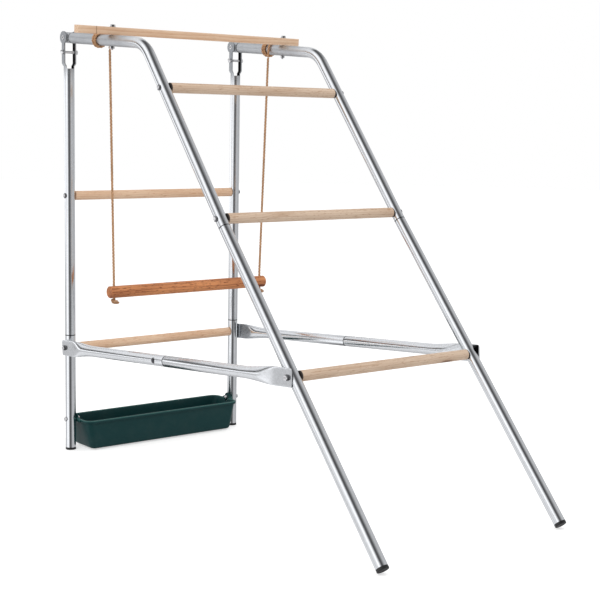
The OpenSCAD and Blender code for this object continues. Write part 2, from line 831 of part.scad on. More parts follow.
module swing_bar() {
  color(brown_wood) placed() translate([-bar_shift, swing_pivot[0], bar_z]) difference() {
    rotate([0, 90, 0]) {
      translate([0, 0, -bar_len / 2 + perch_chamfer])
        cylinder(h = bar_len - 2 * perch_chamfer, d = bar_d);
      for (m = [0, 1]) mirror([0, 0, m]) translate([0, 0, bar_len / 2 - perch_chamfer])
        cylinder(h = perch_chamfer, d1 = bar_d, d2 = bar_d - 2 * perch_chamfer);
    }
    for (s = [-1, 1]) translate([s * bar_end_x, 0, 0])
      cylinder(h = 2 * bar_d, r = rope_r + slip, center = true);
  }
}

module rope_knots() {
  color(rope_tan) placed() for (s = [-1, 1])
    translate(rope_bottom(s) + [0, 0, -seat_gap - knot_h - knot_tail]) {
      rotate_extrude() polygon([
        [0, 0], [rope_r, 0], [rope_r, knot_tail + 1], [knot_d * 0.36, knot_tail + knot_h * 0.08],
        [knot_d * 0.47, knot_tail + knot_h * 0.25], [knot_d * 0.5, knot_tail + knot_h * 0.5],
        [knot_d * 0.47, knot_tail + knot_h * 0.75], [knot_d * 0.36, knot_tail + knot_h * 0.92],
        [knot_d * 0.24, knot_tail + knot_h], [0, knot_tail + knot_h]
      ]);
    }
}

post_upper(-1);  // post_upper_left
post_upper(1);  // post_upper_right
post_lower(-1);  // post_lower_left
post_lower(1);  // post_lower_right
rail(-1);  // rail_left
rail(1);  // rail_right
ladder_tube(-1);  // ladder_tube_left
ladder_tube(1);  // ladder_tube_right
brace_rear(-1);  // brace_rear_left
brace_rear(1);  // brace_rear_right
brace_front(-1);  // brace_front_left
brace_front(1);  // brace_front_right
brace_button(-1);  // brace_button_left
brace_button(1);  // brace_button_right
rear_feet();
front_foot(-1);  // front_foot_left
front_foot(1);  // front_foot_right
top_beam();
perch_top();
perch_middle();
perch_bottom();
rear_perch_upper();
rear_perch_lower();
perch_screws();
perch_screw_washers();
brace_bolts();
brace_bolt_washers();
beam_bolts();
beam_bolt_washers();
beam_nuts();
pivot_rivets();
clamp_bolts();
clamp_nuts();
feeding_trough();
trough_bolts();
trough_nuts();
rope_lashing(-1);  // rope_lashing_left
rope_lashing(1);  // rope_lashing_right
swing_rope(-1);  // swing_rope_left
swing_rope(1);  // swing_rope_right
swing_bar();
rope_knots();
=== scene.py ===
"""Looks of a free-standing poultry perch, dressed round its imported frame.

Galvanised tubes, round wooden perches, a rope swing and a moulded feeding trough.
Everything is in metres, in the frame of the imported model.
"""

import math

import bmesh
import bpy
from mathutils import Matrix, Vector


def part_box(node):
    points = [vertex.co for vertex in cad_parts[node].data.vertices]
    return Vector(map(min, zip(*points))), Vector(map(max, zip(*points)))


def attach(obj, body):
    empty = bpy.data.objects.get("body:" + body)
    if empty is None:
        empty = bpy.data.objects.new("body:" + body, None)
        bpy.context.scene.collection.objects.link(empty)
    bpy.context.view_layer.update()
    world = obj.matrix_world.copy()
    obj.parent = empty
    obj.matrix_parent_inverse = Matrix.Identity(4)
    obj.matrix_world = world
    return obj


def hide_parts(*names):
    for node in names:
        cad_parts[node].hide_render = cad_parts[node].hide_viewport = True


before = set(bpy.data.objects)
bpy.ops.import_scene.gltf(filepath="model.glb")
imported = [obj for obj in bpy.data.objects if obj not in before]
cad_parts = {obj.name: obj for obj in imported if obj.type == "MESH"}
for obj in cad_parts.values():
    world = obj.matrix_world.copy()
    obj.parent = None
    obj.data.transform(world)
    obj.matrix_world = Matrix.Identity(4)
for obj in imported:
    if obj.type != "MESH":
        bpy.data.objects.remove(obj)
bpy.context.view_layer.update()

bl_info = {
    "name": "Poultry perch looks",
    "version": (1, 0, 0),
    "blender": (4, 5, 0),
    "location": "3D View > Sidebar > Perch",
    "description": "Materials and detailed pieces of a poultry perch, its ropes and its trough",
    "category": "Object",
}

SIDES = {"left": -1, "right": 1}
TURN = 2 * math.pi
QUARTER = math.pi / 2


def middle(node):
    """The centre of a node's box."""
    low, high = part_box(node)
    return (low + high) / 2


# Where the frame stands: the middle between the posts, on the floor
LEFT_POST, RIGHT_POST = middle("post_lower_left"), middle("post_lower_right")
MID = Vector(((LEFT_POST.x + RIGHT_POST.x) / 2, middle("rear_feet").y, 0.0))
SIDE = (RIGHT_POST.x - LEFT_POST.x) / 2

# Points in the side view are (y, z) from there, and slopes are below the horizontal
TUBE_R = 0.0125
PIVOT = (0.0, 0.990)
RAIL_FALL = math.radians(3.7)
LADDER_SLOPE = math.radians(50.8)
LOWER_SLOPE = math.radians(48.9)
SEAT_GAP = 0.0002
SLIP = 0.0003


def down(point, slope, run, rise=0.0):
    """The point a run down a slope from another, and a rise square to it."""
    return (
        point[0] - run * math.cos(slope) - rise * math.sin(slope),
        point[1] - run * math.sin(slope) + rise * math.cos(slope),
    )


CORNER = down(PIVOT, RAIL_FALL, 0.337)
LADDER_SPLIT = down(CORNER, LADDER_SLOPE, 0.488)
PERCH_1 = down(CORNER, LADDER_SLOPE, 0.124)
PERCH_2 = down(CORNER, LADDER_SLOPE, 0.466)
PERCH_3 = down(LADDER_SPLIT, LOWER_SLOPE, 0.359)
REAR_PERCH = (0.0, 0.619)
BRACE_START = (0.0, 0.252)
BRACE_RISE = math.atan2(PERCH_3[1] - BRACE_START[1], -PERCH_3[0])
BRACE_LEN = math.hypot(PERCH_3[1] - BRACE_START[1], PERCH_3[0])
BRACE_JOINT = 0.454
FLAT_T = 0.003
BRACE_X = SIDE + TUBE_R + SLIP + FLAT_T / 2
OUTER_FACE = TUBE_R + SEAT_GAP
PLATE_FACE = TUBE_R + SLIP + FLAT_T
EAR_BOLT = (0.0, 0.076)
EAR_T = 0.003
BEAM = 0.0175
BEAM_AT = 0.200
LUG_T = 0.003
CLAMP_DROP = 0.034

# Fasteners: bolts and nuts of 6 mm, and how deep those of the perches go
WASHER_T = 0.0012
WASHER_R = 0.0065
SCREW_BORE = 0.0021
BOLT_BORE = 0.0031
SHANK_R = 0.00295
HEX_FLATS = 0.010
HEAD_T = 0.004
NUT_T = 0.005
PAST_NUT = 0.003
PERCH_DEPTH = 0.032


def at_point(point, x=0.0):
    """A point of the side view, a distance x to the right of the middle."""
    return MID + Vector((x, *point))


def moved(place, x, y, z):
    """A frame moved along its own axes."""
    return place @ Matrix.Translation((x, y, z))


def spin(angle, axis="X"):
    """A turn about an axis."""
    return Matrix.Rotation(angle, 4, axis)


def slope_frame(point, slope, x=0.0):
    """A frame whose Z runs down the slope and whose Y is the slope's upper side."""
    return Matrix.Translation(at_point(point, x)) @ spin(QUARTER + slope)


def outward_frame(side, point):
    """A frame whose Z points out of the perch on one side."""
    return Matrix.Translation(at_point(point, side * SIDE)) @ spin(side * QUARTER, "Y")


# Sizes and colours that a user would change


def number(name, description, default, **kind):
    """A property that holds one number."""
    return bpy.props.FloatProperty(name=name, description=description, default=default, **kind)


def length(name, description, default):
    """A property that holds one length."""
    return number(name, description, default, unit="LENGTH")


def angle(name, description, degrees):
    """A property that holds one angle, whose default is given in degrees."""
    return number(name, description, math.radians(degrees), subtype="ANGLE")


def colour(name, description, *default):
    """A property that holds one opaque colour."""
    return bpy.props.FloatVectorProperty(
        name=name, description=description, subtype="COLOR", size=4, default=(*default, 1.0))


class PerchSight(bpy.types.PropertyGroup):
    """Where the camera stands and how the studio is lit."""

    focal: number("Focal length", "Focal length in millimetres", 82.5291)
    spot: bpy.props.FloatVectorProperty(
        name="Camera place", description="Where the camera stands", subtype="XYZ",
        unit="LENGTH", default=(-1.818726, -2.382990, 0.815197))
    yaw: angle("Yaw", "Turn of the view about the vertical, from +Y", -39.37701)
    pitch: angle("Pitch", "Tilt of the view above the horizontal", -7.57703)
    roll: angle("Roll", "Roll of the camera about its own line of sight", 1.15221)
    shift: bpy.props.FloatVectorProperty(
        name="Shift", description="Shift of the picture on the film, as shares of its width",
        size=2, default=(-0.047729, 0.001445))
    floor_colour: colour("Floor", "Colour of the floor", 0.80, 0.80, 0.80)
    fill: number("Fill", "Strength of the light from all round", 0.70)
    key: number("Key", "Power of the large lamp, in watts", 40.0)


class PerchFinish(bpy.types.PropertyGroup):
    """Colours of the finishes."""

    zinc: colour("Zinc", "Colour of the galvanised tubes", 0.84, 0.86, 0.88)
    rail: colour("Dull zinc", "Colour of the galvanised rails", 0.66, 0.68, 0.70)
    plate: colour("Plated steel", "Colour of the bolts and nuts", 0.86, 0.86, 0.87)
    pale_wood: colour("Pale wood", "Light tone of the ladder perches", 0.82, 0.64, 0.49)
    pale_grain: colour("Pale grain", "Dark tone of the ladder perches", 0.55, 0.35, 0.22)
    warm_wood: colour("Warm wood", "Light tone of the rear perches", 0.95, 0.70, 0.50)
    warm_grain: colour("Warm grain", "Dark tone of the rear perches", 0.70, 0.40, 0.23)
    bar_wood: colour("Swing bar", "Light tone of the swing bar", 0.84, 0.35, 0.14)
    bar_grain: colour("Swing bar grain", "Dark tone of the swing bar", 0.24, 0.06, 0.022)
    rope: colour("Rope", "Colour of the rope", 0.66, 0.38, 0.21)
    trough: colour("Trough", "Colour of the moulded trough", 0.009, 0.050, 0.052)
    cap: colour("Caps", "Colour of the foot caps", 0.012, 0.012, 0.013)


class PerchRope(bpy.types.PropertyGroup):
    """Sizes of the rope and of its lashings."""

    diameter: length("Diameter", "Diameter of the rope", 0.006)
    lay: length("Lay", "Length in which the strands go once round", 0.022)
    at: length("Place on the rail", "Distance from the pivot along the rail", 0.163)
    drop: length("Drop", "Rope below the rail's axis before it hangs free", 0.018)
    pitch: length("Pitch", "Advance of each turn", 0.0074)
    reach: length("Reach", "Further advance of the slanting first half turn", 0.011)
    tail: length("Tail", "Rope past the second turn", 0.020)


class PerchTrough(bpy.types.PropertyGroup):
    """Sizes of the moulded trough."""

    wall: length("Wall", "Thickness of the wall", 0.0024)
    draft: length("Draft", "How far each long wall leans in down to the floor", 0.005)
    end_draft: length("End draft", "How far each end wall leans in down to the floor", 0.016)
    corner: length("Corner", "Corner radius at the mouth", 0.020)
    rim: length("Rim", "Width of the rolled rim past the wall", 0.0036)
    lip: length("Lip", "Height of the rolled rim", 0.007)
    top: length("Top", "Height of the rim above the ground", 0.075)
    lift: length("Lift", "Gap under the trough", 0.003)


# Mesh making


# Points in a ring: of a wide piece, of a thin one and of a brace
ROUND, THIN, BRACE_ROUND = 48, 24, 64


class Skin:
    """Vertices and faces of one piece, gathered from rings of points."""

    def __init__(self):
        self.points, self.faces = [], []

    def add(self, rings, place=None, looped=False):
        """Joins rings of equal count by quads, closes the ends or joins last to first."""
        base, count = len(self.points), len(rings[0])
        place = place or Matrix()
        for ring in rings:
            self.points += [tuple(place @ Vector(p)) for p in ring]
        spans = len(rings) if looped else len(rings) - 1
        for i in range(spans):
            a, b = base + i * count, base + (i + 1) % len(rings) * count
            for k in range(count):
                n = (k + 1) % count
                self.faces.append((a + k, a + n, b + n, b + k))
        if not looped:
            for ring, start in ((rings[0], base), (rings[-1], base + (len(rings) - 1) * count)):
                centre = sum((Vector(p) for p in ring), Vector()) / count
                self.points.append(tuple(place @ centre))
                hub = len(self.points) - 1
                self.faces += [(hub, start + k, start + (k + 1) % count) for k in range(count)]
        return self

    def piece(self, name, finish, slot, nodes, body="frame", crease=38.0):
        """Makes the object, which rides on a body and stands for CAD nodes."""
        mesh = bpy.data.meshes.new(name)
        mesh.from_pydata(self.points, [], self.faces)
        work = bmesh.new()
        work.from_mesh(mesh)
        bmesh.ops.remove_doubles(work, verts=work.verts, dist=1e-7)
        bmesh.ops.recalc_face_normals(work, faces=work.faces)
        work.to_mesh(mesh)
        work.free()
        mesh.shade_smooth()
        mesh.set_sharp_from_angle(angle=math.radians(crease))
        mesh.materials.append(finish.made)
        obj = bpy.data.objects.new(name, mesh)
        bpy.context.scene.collection.objects.link(obj)
        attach(obj, body)
        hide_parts(*nodes)
        return obj


def angles(count):
    """Even turns all the way round."""
    return [TURN * k / count for k in range(count)]


def polar(r, a, z):
    """A point by its distance from Z, its turn and its height."""
    return (r * math.cos(a), r * math.sin(a), z)


def circle(radius, z, count=ROUND):
    """A level ring of points."""
    return [polar(radius, a, z) for a in angles(count)]


def turned(profile):
    """Rings of a turned part from its (radius, height) profile."""
    return [circle(r, z) for r, z in profile]


def smooth(t):
    """A soft step from 0 to 1."""
    t = min(1.0, max(0.0, t))
    return t * t * (3 - 2 * t)


def arcs(long, wide, corner, z, steps):
    """The four corners of a rounded rectangle, each a list of points."""
    return [
        [(cx * (long - corner) + corner * math.cos(QUARTER * (start + k / steps)),
          cy * (wide - corner) + corner * math.sin(QUARTER * (start + k / steps)), z)
         for k in range(steps + 1)]
        for start, (cx, cy) in enumerate(((1, 1), (-1, 1), (-1, -1), (1, -1)))
    ]


def hexagon(top, limit):
    """A hexagon's outline, its corners turned off at the top down from a limit."""
    ring = []
    for a in angles(ROUND):
        r = HEX_FLATS / 2 / math.cos((a + math.pi / 6) % (math.pi / 3) - math.pi / 6)
        ring.append(polar(r, a, top - max(0.0, r - limit) * math.tan(math.radians(30))))
    return ring


def hex_head():
    """A hexagon head that stands on z = 0, its top corners turned off."""
    limit = HEX_FLATS / 2 * 0.97
    ring = hexagon(HEAD_T, limit)
    return [[(x, y, 0.0) for x, y, _ in ring], ring, circle(limit, HEAD_T),
            circle(limit * 0.6, HEAD_T), circle(limit * 0.55, HEAD_T - 0.0002)]


def hex_nut():
    """A nut with both faces turned off, on z = 0."""
    limit, ease, mouth = HEX_FLATS / 2 * 0.97, 0.0005, BOLT_BORE + 0.0004
    ring = hexagon(NUT_T, limit)
    lower = [(x, y, NUT_T - z) for x, y, z in ring]
    return [circle(mouth, 0.0), circle(limit, 0.0), lower, ring, circle(limit, NUT_T),
            circle(mouth, NUT_T), circle(BOLT_BORE, NUT_T - ease), circle(BOLT_BORE, ease)]


def threaded(radius, start, stop, pitch, depth, taper):
    """A threaded shank from one height down to another, with a tapered end."""
    rows = max(2, round(abs(stop - start) / pitch * 6))
    rings = []
    for i in range(rows + 1):
        z = start + (stop - start) * i / rows
        left = abs(stop - z)
        full = radius if left >= taper else radius * (0.15 + 0.85 * left / taper)
        ring = []
        for a in angles(THIN):
            groove = 0.5 - 0.5 * math.cos(TURN * z / pitch - a)
            ring.append(polar(full - depth * groove * full / radius, a, z))
        rings.append(ring)
    return rings


# Rope making

CUT_END = (0.97, 0.85, 0.55)
ROUND_START = (0.35, 0.8, 0.97)


def curve_through(points, step):
    """Points an even step apart on a soft curve through the given ones."""
    ends = [points[0] * 2 - points[1], *points, points[-1] * 2 - points[-2]]
    fine = []
    for i in range(1, len(ends) - 2):
        a, b, c, d = ends[i - 1:i + 3]
        for k in range(12):
            t = k / 12
            fine.append(0.5 * (b * 2 + (c - a) * t + (a * 2 - b * 5 + c * 4 - d) * t * t
                               + (b * 3 - a - c * 3 + d) * t ** 3))
    fine.append(points[-1].copy())
    return evenly(fine, step)


def evenly(points, step):
    """Points an even step apart along straight runs."""
    total = run_of(points)
    count = max(2, round(total / step))
    out, run, i = [points[0].copy()], 0.0, 0
    for k in range(1, count):
        want = total * k / count
        while run + (points[i + 1] - points[i]).length < want:
            run += (points[i + 1] - points[i]).length
            i += 1
        leg = points[i + 1] - points[i]
        out.append(points[i] + leg * ((want - run) / leg.length))
    out.append(points[-1].copy())
    return out


def run_of(points):
    """The length of a line of points."""
    return sum((b - a).length for a, b in zip(points, points[1:]))


def strands(radius):
    """Distance of a three-strand rope's surface from its axis, all round."""
    offset, size = 0.46 * radius, 0.54 * radius
    ring = []
    for turn in angles(THIN):
        out, aside, _ = polar(offset, (turn + math.pi / 3) % (TURN / 3) - math.pi / 3, 0.0)
        ring.append(out + math.sqrt(max(0.0, size ** 2 - aside ** 2)))
    return ring


def rope_rings(path, radius, lay, first=(), last=()):
    """Rings of a twisted rope along a path, its first and last ones drawn in."""
    shape, rings, run = strands(radius), [], 0.0
    sizes = [*first, *[1.0] * (len(path) - len(first) - len(last)), *last]
    side = Vector((0.0, 0.0, 1.0))
    along = (path[1] - path[0]).normalized()
    if abs(side.dot(along)) > 0.9:
        side = Vector((1.0, 0.0, 0.0))
    for i, point in enumerate(path):
        ahead = (path[min(i + 1, len(path) - 1)] - path[max(i - 1, 0)]).normalized()
        side = (side - ahead * side.dot(ahead)).normalized()
        across = ahead.cross(side)
        if i:
            run += (point - path[i - 1]).length
        ring = []
        for turn, r in zip(angles(THIN), shape):
            a = turn + TURN * run / lay
            ring.append(point + (side * math.cos(a) + across * math.sin(a)) * r * sizes[i])
        rings.append(ring)
    return rings


# Shader nodes

ORIGIN = (0.0, 0.0, 0.0)
ALONG_X, ALONG_Y, ALONG_Z = (1.0, 0.0, 0.0), (0.0, 1.0, 0.0), (0.0, 0.0, 1.0)
OFF_X, EVERY_WAY = (0.0, 1.0, 1.0), (1.0, 1.0, 1.0)
WHITE = (1.0, 1.0, 1.0, 1.0)
BLACK = (0.015, 0.015, 0.017, 1.0)


class Net:
    """A node tree, with short ways to add to it."""

    def __init__(self, tree):
        self.tree = tree

    def feed(self, value, socket):
        """Joins a socket to another, or sets it to a value."""
        if isinstance(value, bpy.types.NodeSocket):
            self.tree.links.new(value, socket)
        else:
            socket.default_value = value

    def put(self, kind, values=None, **settings):
        """A node with its settings, its inputs set to values or joined to sockets."""
        node = self.tree.nodes.new("ShaderNode" + kind)
        for key, value in settings.items():
            setattr(node, key, value)
        for key, value in (values or {}).items():
            self.feed(value, node.inputs[key])
        return node

    def group(self, name, values):
        """The outputs of one of the shared groups, which is made when it is first asked for."""
        if name not in GROUPS:
            GROUPS[name] = GROUP_MAKERS[name]()
        return self.put("Group", values, node_tree=GROUPS[name]).outputs

    def calc(self, operation, *values, clamp=False):
        """The result of one sum."""
        return self.put("Math", dict(enumerate(values)), operation=operation,
                        use_clamp=clamp).outputs[0]

    def plus(self, *values, clamp=False):
        """The values added in turn, and the whole kept from 0 to 1 where it is clamped."""
        total = values[0]
        for i, value in enumerate(values[1:], 2):
            total = self.calc("ADD", total, value, clamp=clamp and i == len(values))
        return total

    def minus(self, a, b):
        """One value less another."""
        return self.calc("SUBTRACT", a, b)

    def times(self, a, b):
        """The product of two values."""
        return self.calc("MULTIPLY", a, b)

    def vector(self, operation, a, b=ORIGIN):
        """A sum of vectors: a number where it measures, and a vector elsewhere."""
        outputs = self.put("VectorMath", {0: a, 1: b}, operation=operation).outputs
        return outputs["Value" if operation in ("LENGTH", "DOT_PRODUCT") else "Vector"]

    def sized(self, vector, size):
        """A vector or colour times one number."""
        return self.put("VectorMath", {0: vector, "Scale": size}, operation="SCALE").outputs[0]

    def stretched(self, vector, factors):
        """A vector with each of its parts multiplied."""
        return self.vector("MULTIPLY", vector, factors)

    def turned(self, vector, turn):
        """A vector turned about X."""
        return self.put("Mapping", {"Vector": vector, "Rotation": (turn, 0.0, 0.0)}).outputs[0]

    def parts(self, vector):
        """The three parts of a vector."""
        return self.put("SeparateXYZ", {0: vector}).outputs

    def red(self, tone):
        """The first part of a colour."""
        return self.put("SeparateColor", {0: tone}).outputs[0]

    def noise(self, vector, scale, detail=2.0, rough=0.5):
        """A noise at a vector, by one scale or by a scale along each axis."""
        if isinstance(scale, tuple):
            vector, scale = self.stretched(vector, scale), 1.0
        return self.put("TexNoise", {"Vector": vector, "Scale": scale, "Detail": detail,
                                     "Roughness": rough}).outputs["Fac"]

    def ramp(self, value, low, high, out_low=0.0, out_high=1.0):
        """A value carried softly from one range to another."""
        return self.put("MapRange", {"Value": value, "From Min": low, "From Max": high,
                                     "To Min": out_low, "To Max": out_high},
                        interpolation_type="SMOOTHSTEP").outputs["Result"]

    def mixed(self, share, a, b):
        """Two numbers mixed by a share."""
        return self.put("Mix", {0: share, 2: a, 3: b}).outputs[0]

    def blended(self, share, a, b, way="MIX"):
        """Two colours mixed by a share."""
        return self.put("Mix", {0: share, 6: a, 7: b}, data_type="RGBA", blend_type=way).outputs[2]

    def banded(self, value, stops):
        """Greys for a value from -1 to 1, by stops of place and brightness."""
        bands = self.put("ValToRGB", {0: self.calc("MULTIPLY_ADD", value, 0.5, 0.5)})
        line = bands.color_ramp
        for at, _ in stops[1:-1]:
            line.elements.new(at)
        for element, (_, grey) in zip(line.elements, stops):
            element.color = (grey, grey, grey * 1.02, 1.0)
        return bands.outputs[0]


def new_group(name, inputs, outputs=("Color", "Roughness", "Height")):
    """An empty shader group, the sockets of its inputs, and a call that joins its outputs."""
    net = Net(bpy.data.node_groups.new(name, "ShaderNodeTree"))
    sockets = net.tree.interface
    for label, value in inputs.items():
        size = len(value) if isinstance(value, tuple) else 1
        kind = {1: "Float", 3: "Vector", 4: "Color"}[size]
        item = sockets.new_socket(name=label, in_out="INPUT", socket_type="NodeSocket" + kind)
        item.default_value = value
    for label in outputs:
        kind = "Color" if label == "Color" else "Float"
        sockets.new_socket(name=label, in_out="OUTPUT", socket_type="NodeSocket" + kind)
    into = net.tree.nodes.new("NodeGroupInput").outputs
    ends = net.tree.nodes.new("NodeGroupOutput").inputs

    def finish(*values):
        """Joins the outputs, and gives the group."""
        for value, socket in zip(values, ends):
            net.feed(value, socket)
        return net.tree

    return net, into, finish


def timber_group():
    """Growth rings, fibres, flecks and knots of a piece sawn or turned along X."""
    net, into, finish = new_group("Timber", {
        "Vector": ORIGIN, "Pith": ORIGIN, "Light Tone": (0.8, 0.6, 0.4, 1.0),
        "Dark Tone": (0.5, 0.3, 0.15, 1.0), "Ring Width": 0.004, "Rings": 0.5, "Flecks": 0.3,
        "Knots": 0.3})
    light, dark = into["Light Tone"], into["Dark Tone"]
    spot = net.vector("ADD", into["Vector"], into["Pith"])
    knot = net.put("TexVoronoi", {"Vector": net.stretched(spot, (9.0, 34.0, 34.0)),
                                  "Scale": 1.0}).outputs
    keep = net.calc("GREATER_THAN", net.red(knot["Color"]), net.minus(1.0, into["Knots"]))
    core = net.times(keep, net.ramp(knot["Distance"], 0.09, 0.22, 1.0, 0.0))
    halo = net.times(keep, net.ramp(knot["Distance"], 0.1, 0.6, 1.0, 0.0))
    sway = net.noise(spot, (2.2, 9.0, 9.0))
    around = net.plus(net.vector("LENGTH", net.stretched(spot, OFF_X)),
                      net.times(sway, 0.022), net.times(halo, 0.006))
    ring = net.calc("POWER", net.calc("FRACT", net.calc("DIVIDE", around, into["Ring Width"])), 2.6)
    fibre = net.noise(spot, (22.0, 900.0, 900.0), 3.0, 0.6)
    fleck = net.ramp(net.noise(spot, (80.0, 520.0, 520.0), 1.0), 0.60, 0.72)
    patch = net.noise(spot, (5.0, 30.0, 30.0), 1.0)
    depth = net.plus(net.times(ring, into["Rings"]), net.ramp(fibre, 0.3, 0.75, 0.0, 0.34),
                     net.times(fleck, into["Flecks"]), net.ramp(patch, 0.35, 0.7, -0.10, 0.22),
                     clamp=True)
    burnt = net.blended(1.0, dark, (0.42, 0.30, 0.24, 1.0), "MULTIPLY")
    tone = net.blended(depth, light, dark)
    tone = net.blended(net.times(halo, 0.35), tone, dark)
    tone = net.blended(net.times(core, 0.85), tone, burnt)
    relief = net.minus(net.times(fibre, 0.6), net.times(fleck, 0.8))
    return finish(tone, net.ramp(fibre, 0.2, 0.8, 0.46, 0.66), net.minus(relief, net.times(core, 0.5)))


def zinc_group():
    """A galvanised coat: spangle, drawing lines along Z and handling marks."""
    net, into, finish = new_group("Zinc coat", {
        "Vector": ORIGIN, "Tone": (0.8, 0.8, 0.8, 1.0), "Spangle": 0.3, "Grain Size": 0.006,
        "Base Roughness": 0.25})
    spot = net.sized(into["Vector"], net.calc("DIVIDE", 1.0, into["Grain Size"]))
    cell = net.put("TexVoronoi", {"Vector": spot, "Scale": 1.0}, feature="SMOOTH_F1").outputs
    drawn = net.noise(into["Vector"], (900.0, 900.0, 6.0))
    marks = net.noise(into["Vector"], (60.0, 60.0, 14.0), 3.0, 0.65)
    shade = net.times(net.minus(net.red(cell["Color"]), 0.5), into["Spangle"])
    value = net.times(net.plus(1.0, net.times(shade, 0.5)), net.ramp(drawn, 0.3, 0.7, 0.95, 1.03))
    value = net.times(value, net.ramp(marks, 0.5, 0.8, 1.0, 0.93))
    rough = net.plus(into["Base Roughness"], net.times(shade, 0.2),
                     net.ramp(marks, 0.5, 0.8, -0.01, 0.05), clamp=True)
    return finish(net.sized(into["Tone"], value), rough, drawn)


def mould_group():
    """Moulded plastic: a fine skin, dust in the open and pale scuffs."""
    net, into, finish = new_group("Moulded plastic", {
        "Vector": ORIGIN, "Tone": (0.02, 0.02, 0.02, 1.0), "Dust": 0.1, "Scuffs": 0.2,
        "Base Roughness": 0.4})
    skin = net.noise(into["Vector"], 2600.0, 1.0)
    cloud = net.noise(into["Vector"], 24.0, 3.0, 0.6)
    scuff = net.ramp(net.noise(into["Vector"], (60.0, 700.0, 900.0), 3.0), 0.62, 0.78)
    tone = net.blended(net.times(net.ramp(cloud, 0.4, 0.75), into["Dust"]), into["Tone"],
                       (0.20, 0.22, 0.20, 1.0))
    tone = net.blended(net.times(scuff, net.times(into["Scuffs"], 0.25)), tone,
                       (0.35, 0.38, 0.36, 1.0))
    rough = net.plus(into["Base Roughness"], net.ramp(cloud, 0.3, 0.7, -0.05, 0.09),
                     net.times(scuff, net.times(into["Scuffs"], 0.3)))
    return finish(tone, rough, net.minus(skin, net.times(scuff, 0.3)))


def fibre_group():
    """Twisted natural yarn: fine fibres, darker threads and loose ends."""
    net, into, finish = new_group("Rope fibre", {
        "Vector": ORIGIN, "Tone": (0.5, 0.3, 0.2, 1.0), "Stray": 0.5})
    yarn = net.noise(into["Vector"], (1300.0, 1300.0, 420.0), 3.0, 0.6)
    patch = net.noise(into["Vector"], 60.0)
    pale = net.blended(1.0, into["Tone"], (1.45, 1.5, 1.55, 1.0), "MULTIPLY")
    deep = net.blended(1.0, into["Tone"], (0.45, 0.42, 0.40, 1.0), "MULTIPLY")
    tone = net.blended(net.ramp(yarn, 0.32, 0.7), deep, pale)
    tone = net.blended(net.times(net.ramp(patch, 0.45, 0.7), 0.35), tone, deep)
    return finish(tone, net.ramp(yarn, 0.2, 0.8, 0.95, 0.78), net.times(yarn, into["Stray"]))


def ring_group():
    """A mask of a narrow ring or a small spot round a point."""
    net, into, finish = new_group("Ring mask", {
        "Vector": ORIGIN, "Middle": ORIGIN, "Factors": EVERY_WAY, "Reach": 0.002}, ["Mask"])
    gap = net.vector("SUBTRACT", into["Vector"], into["Middle"])
    away = net.vector("LENGTH", net.stretched(gap, into["Factors"]))
    return finish(net.ramp(away, net.times(into["Reach"], 0.5), into["Reach"], 1.0, 0.0))


def hollow_group():
    """A mask of the faces that look at the upright axis through the middle of a piece."""
    net, into, finish = new_group("Hollow mask", {"Size": (1.0, 1.0, 0.0)}, ["Mask"])
    share = net.put("TexCoord").outputs["Generated"]
    away = net.stretched(net.vector("SUBTRACT", share, (0.5, 0.5, 0.5)), into["Size"])
    facing = net.vector("DOT_PRODUCT", away, net.put("NewGeometry").outputs["Normal"])
    return finish(net.ramp(facing, -0.006, -0.002, 1.0, 0.0))


GROUP_MAKERS = {"timber": timber_group, "zinc": zinc_group, "mould": mould_group,
                "fibre": fibre_group, "ring": ring_group, "hollow": hollow_group}
GROUPS = {}


class Finish:
    """A material whose shared group gives colour, roughness and relief."""

    def __init__(self, name, effect, values, turn=0.0, relief=0.0002, strength=0.3, metal=0.0,
                 **shader):
        self.made = bpy.data.materials.new(name)
        self.made.use_nodes = True
        net = self.net = Net(self.made.node_tree)
        self.surface = net.tree.nodes["Principled BSDF"].inputs
        self.where = net.put("TexCoord").outputs["Object"]
        self.turn, self.laid = turn, net.turned(self.where, turn) if turn else self.where
        self.coat = net.group(effect, {"Vector": self.laid, **values})
        bump = net.put("Bump", {"Height": self.coat["Height"], "Distance": relief,
                                "Strength": strength}).outputs[0]
        for key, value in {"Base Color": self.coat["Color"], "Roughness": self.coat["Roughness"],
                           "Normal": bump, "Metallic": metal, **shader}.items():
            net.feed(value, self.surface[key.replace("_", " ")])

    def shade(self, mask, share=1.0, tone=BLACK):
        """Gives another colour where a mask is set."""
        socket = self.surface["Base Color"]
        before = socket.links[0].from_socket
        self.net.feed(self.net.blended(self.net.times(mask, share), before, tone), socket)

    def dull(self, mask, rough):
        """Gives another roughness where a mask is set."""
        socket = self.surface["Roughness"]
        self.net.feed(self.net.mixed(mask, socket.links[0].from_socket, rough), socket)

    def ring(self, point, factors, reach):
        """A ring or spot mask round a point, along the axes that the effect is laid on."""
        return self.net.group("ring", {"Vector": self.laid, "Middle": spin(self.turn) @ Vector(point),
                                       "Factors": factors, "Reach": reach})["Mask"]

    def seam(self, point):
        """Darkens the open joint between two tubes, square to the turned axis."""
        self.shade(self.ring(point, ALONG_Z, reach=0.0016), 0.85)

    def dress(self, *nodes):
        """Gives CAD nodes this material."""
        for node in nodes:
            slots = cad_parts[node].data.materials
            slots.clear()
            slots.append(self.made)


def coat_values(tone, rough, spangle=0.12, size=0.006):
    """What the galvanised coat is set to."""
    return {"Tone": tone, "Spangle": spangle, "Base Roughness": rough, "Grain Size": size}


def zinc(name, tone, turn=0.0, rough=0.15, **grain):
    """A galvanised finish whose drawing lines follow a turned axis."""
    return Finish(name, "zinc", coat_values(tone, rough, **grain), turn=turn, relief=0.00002,
                  strength=0.1, metal=1.0)


# Operators


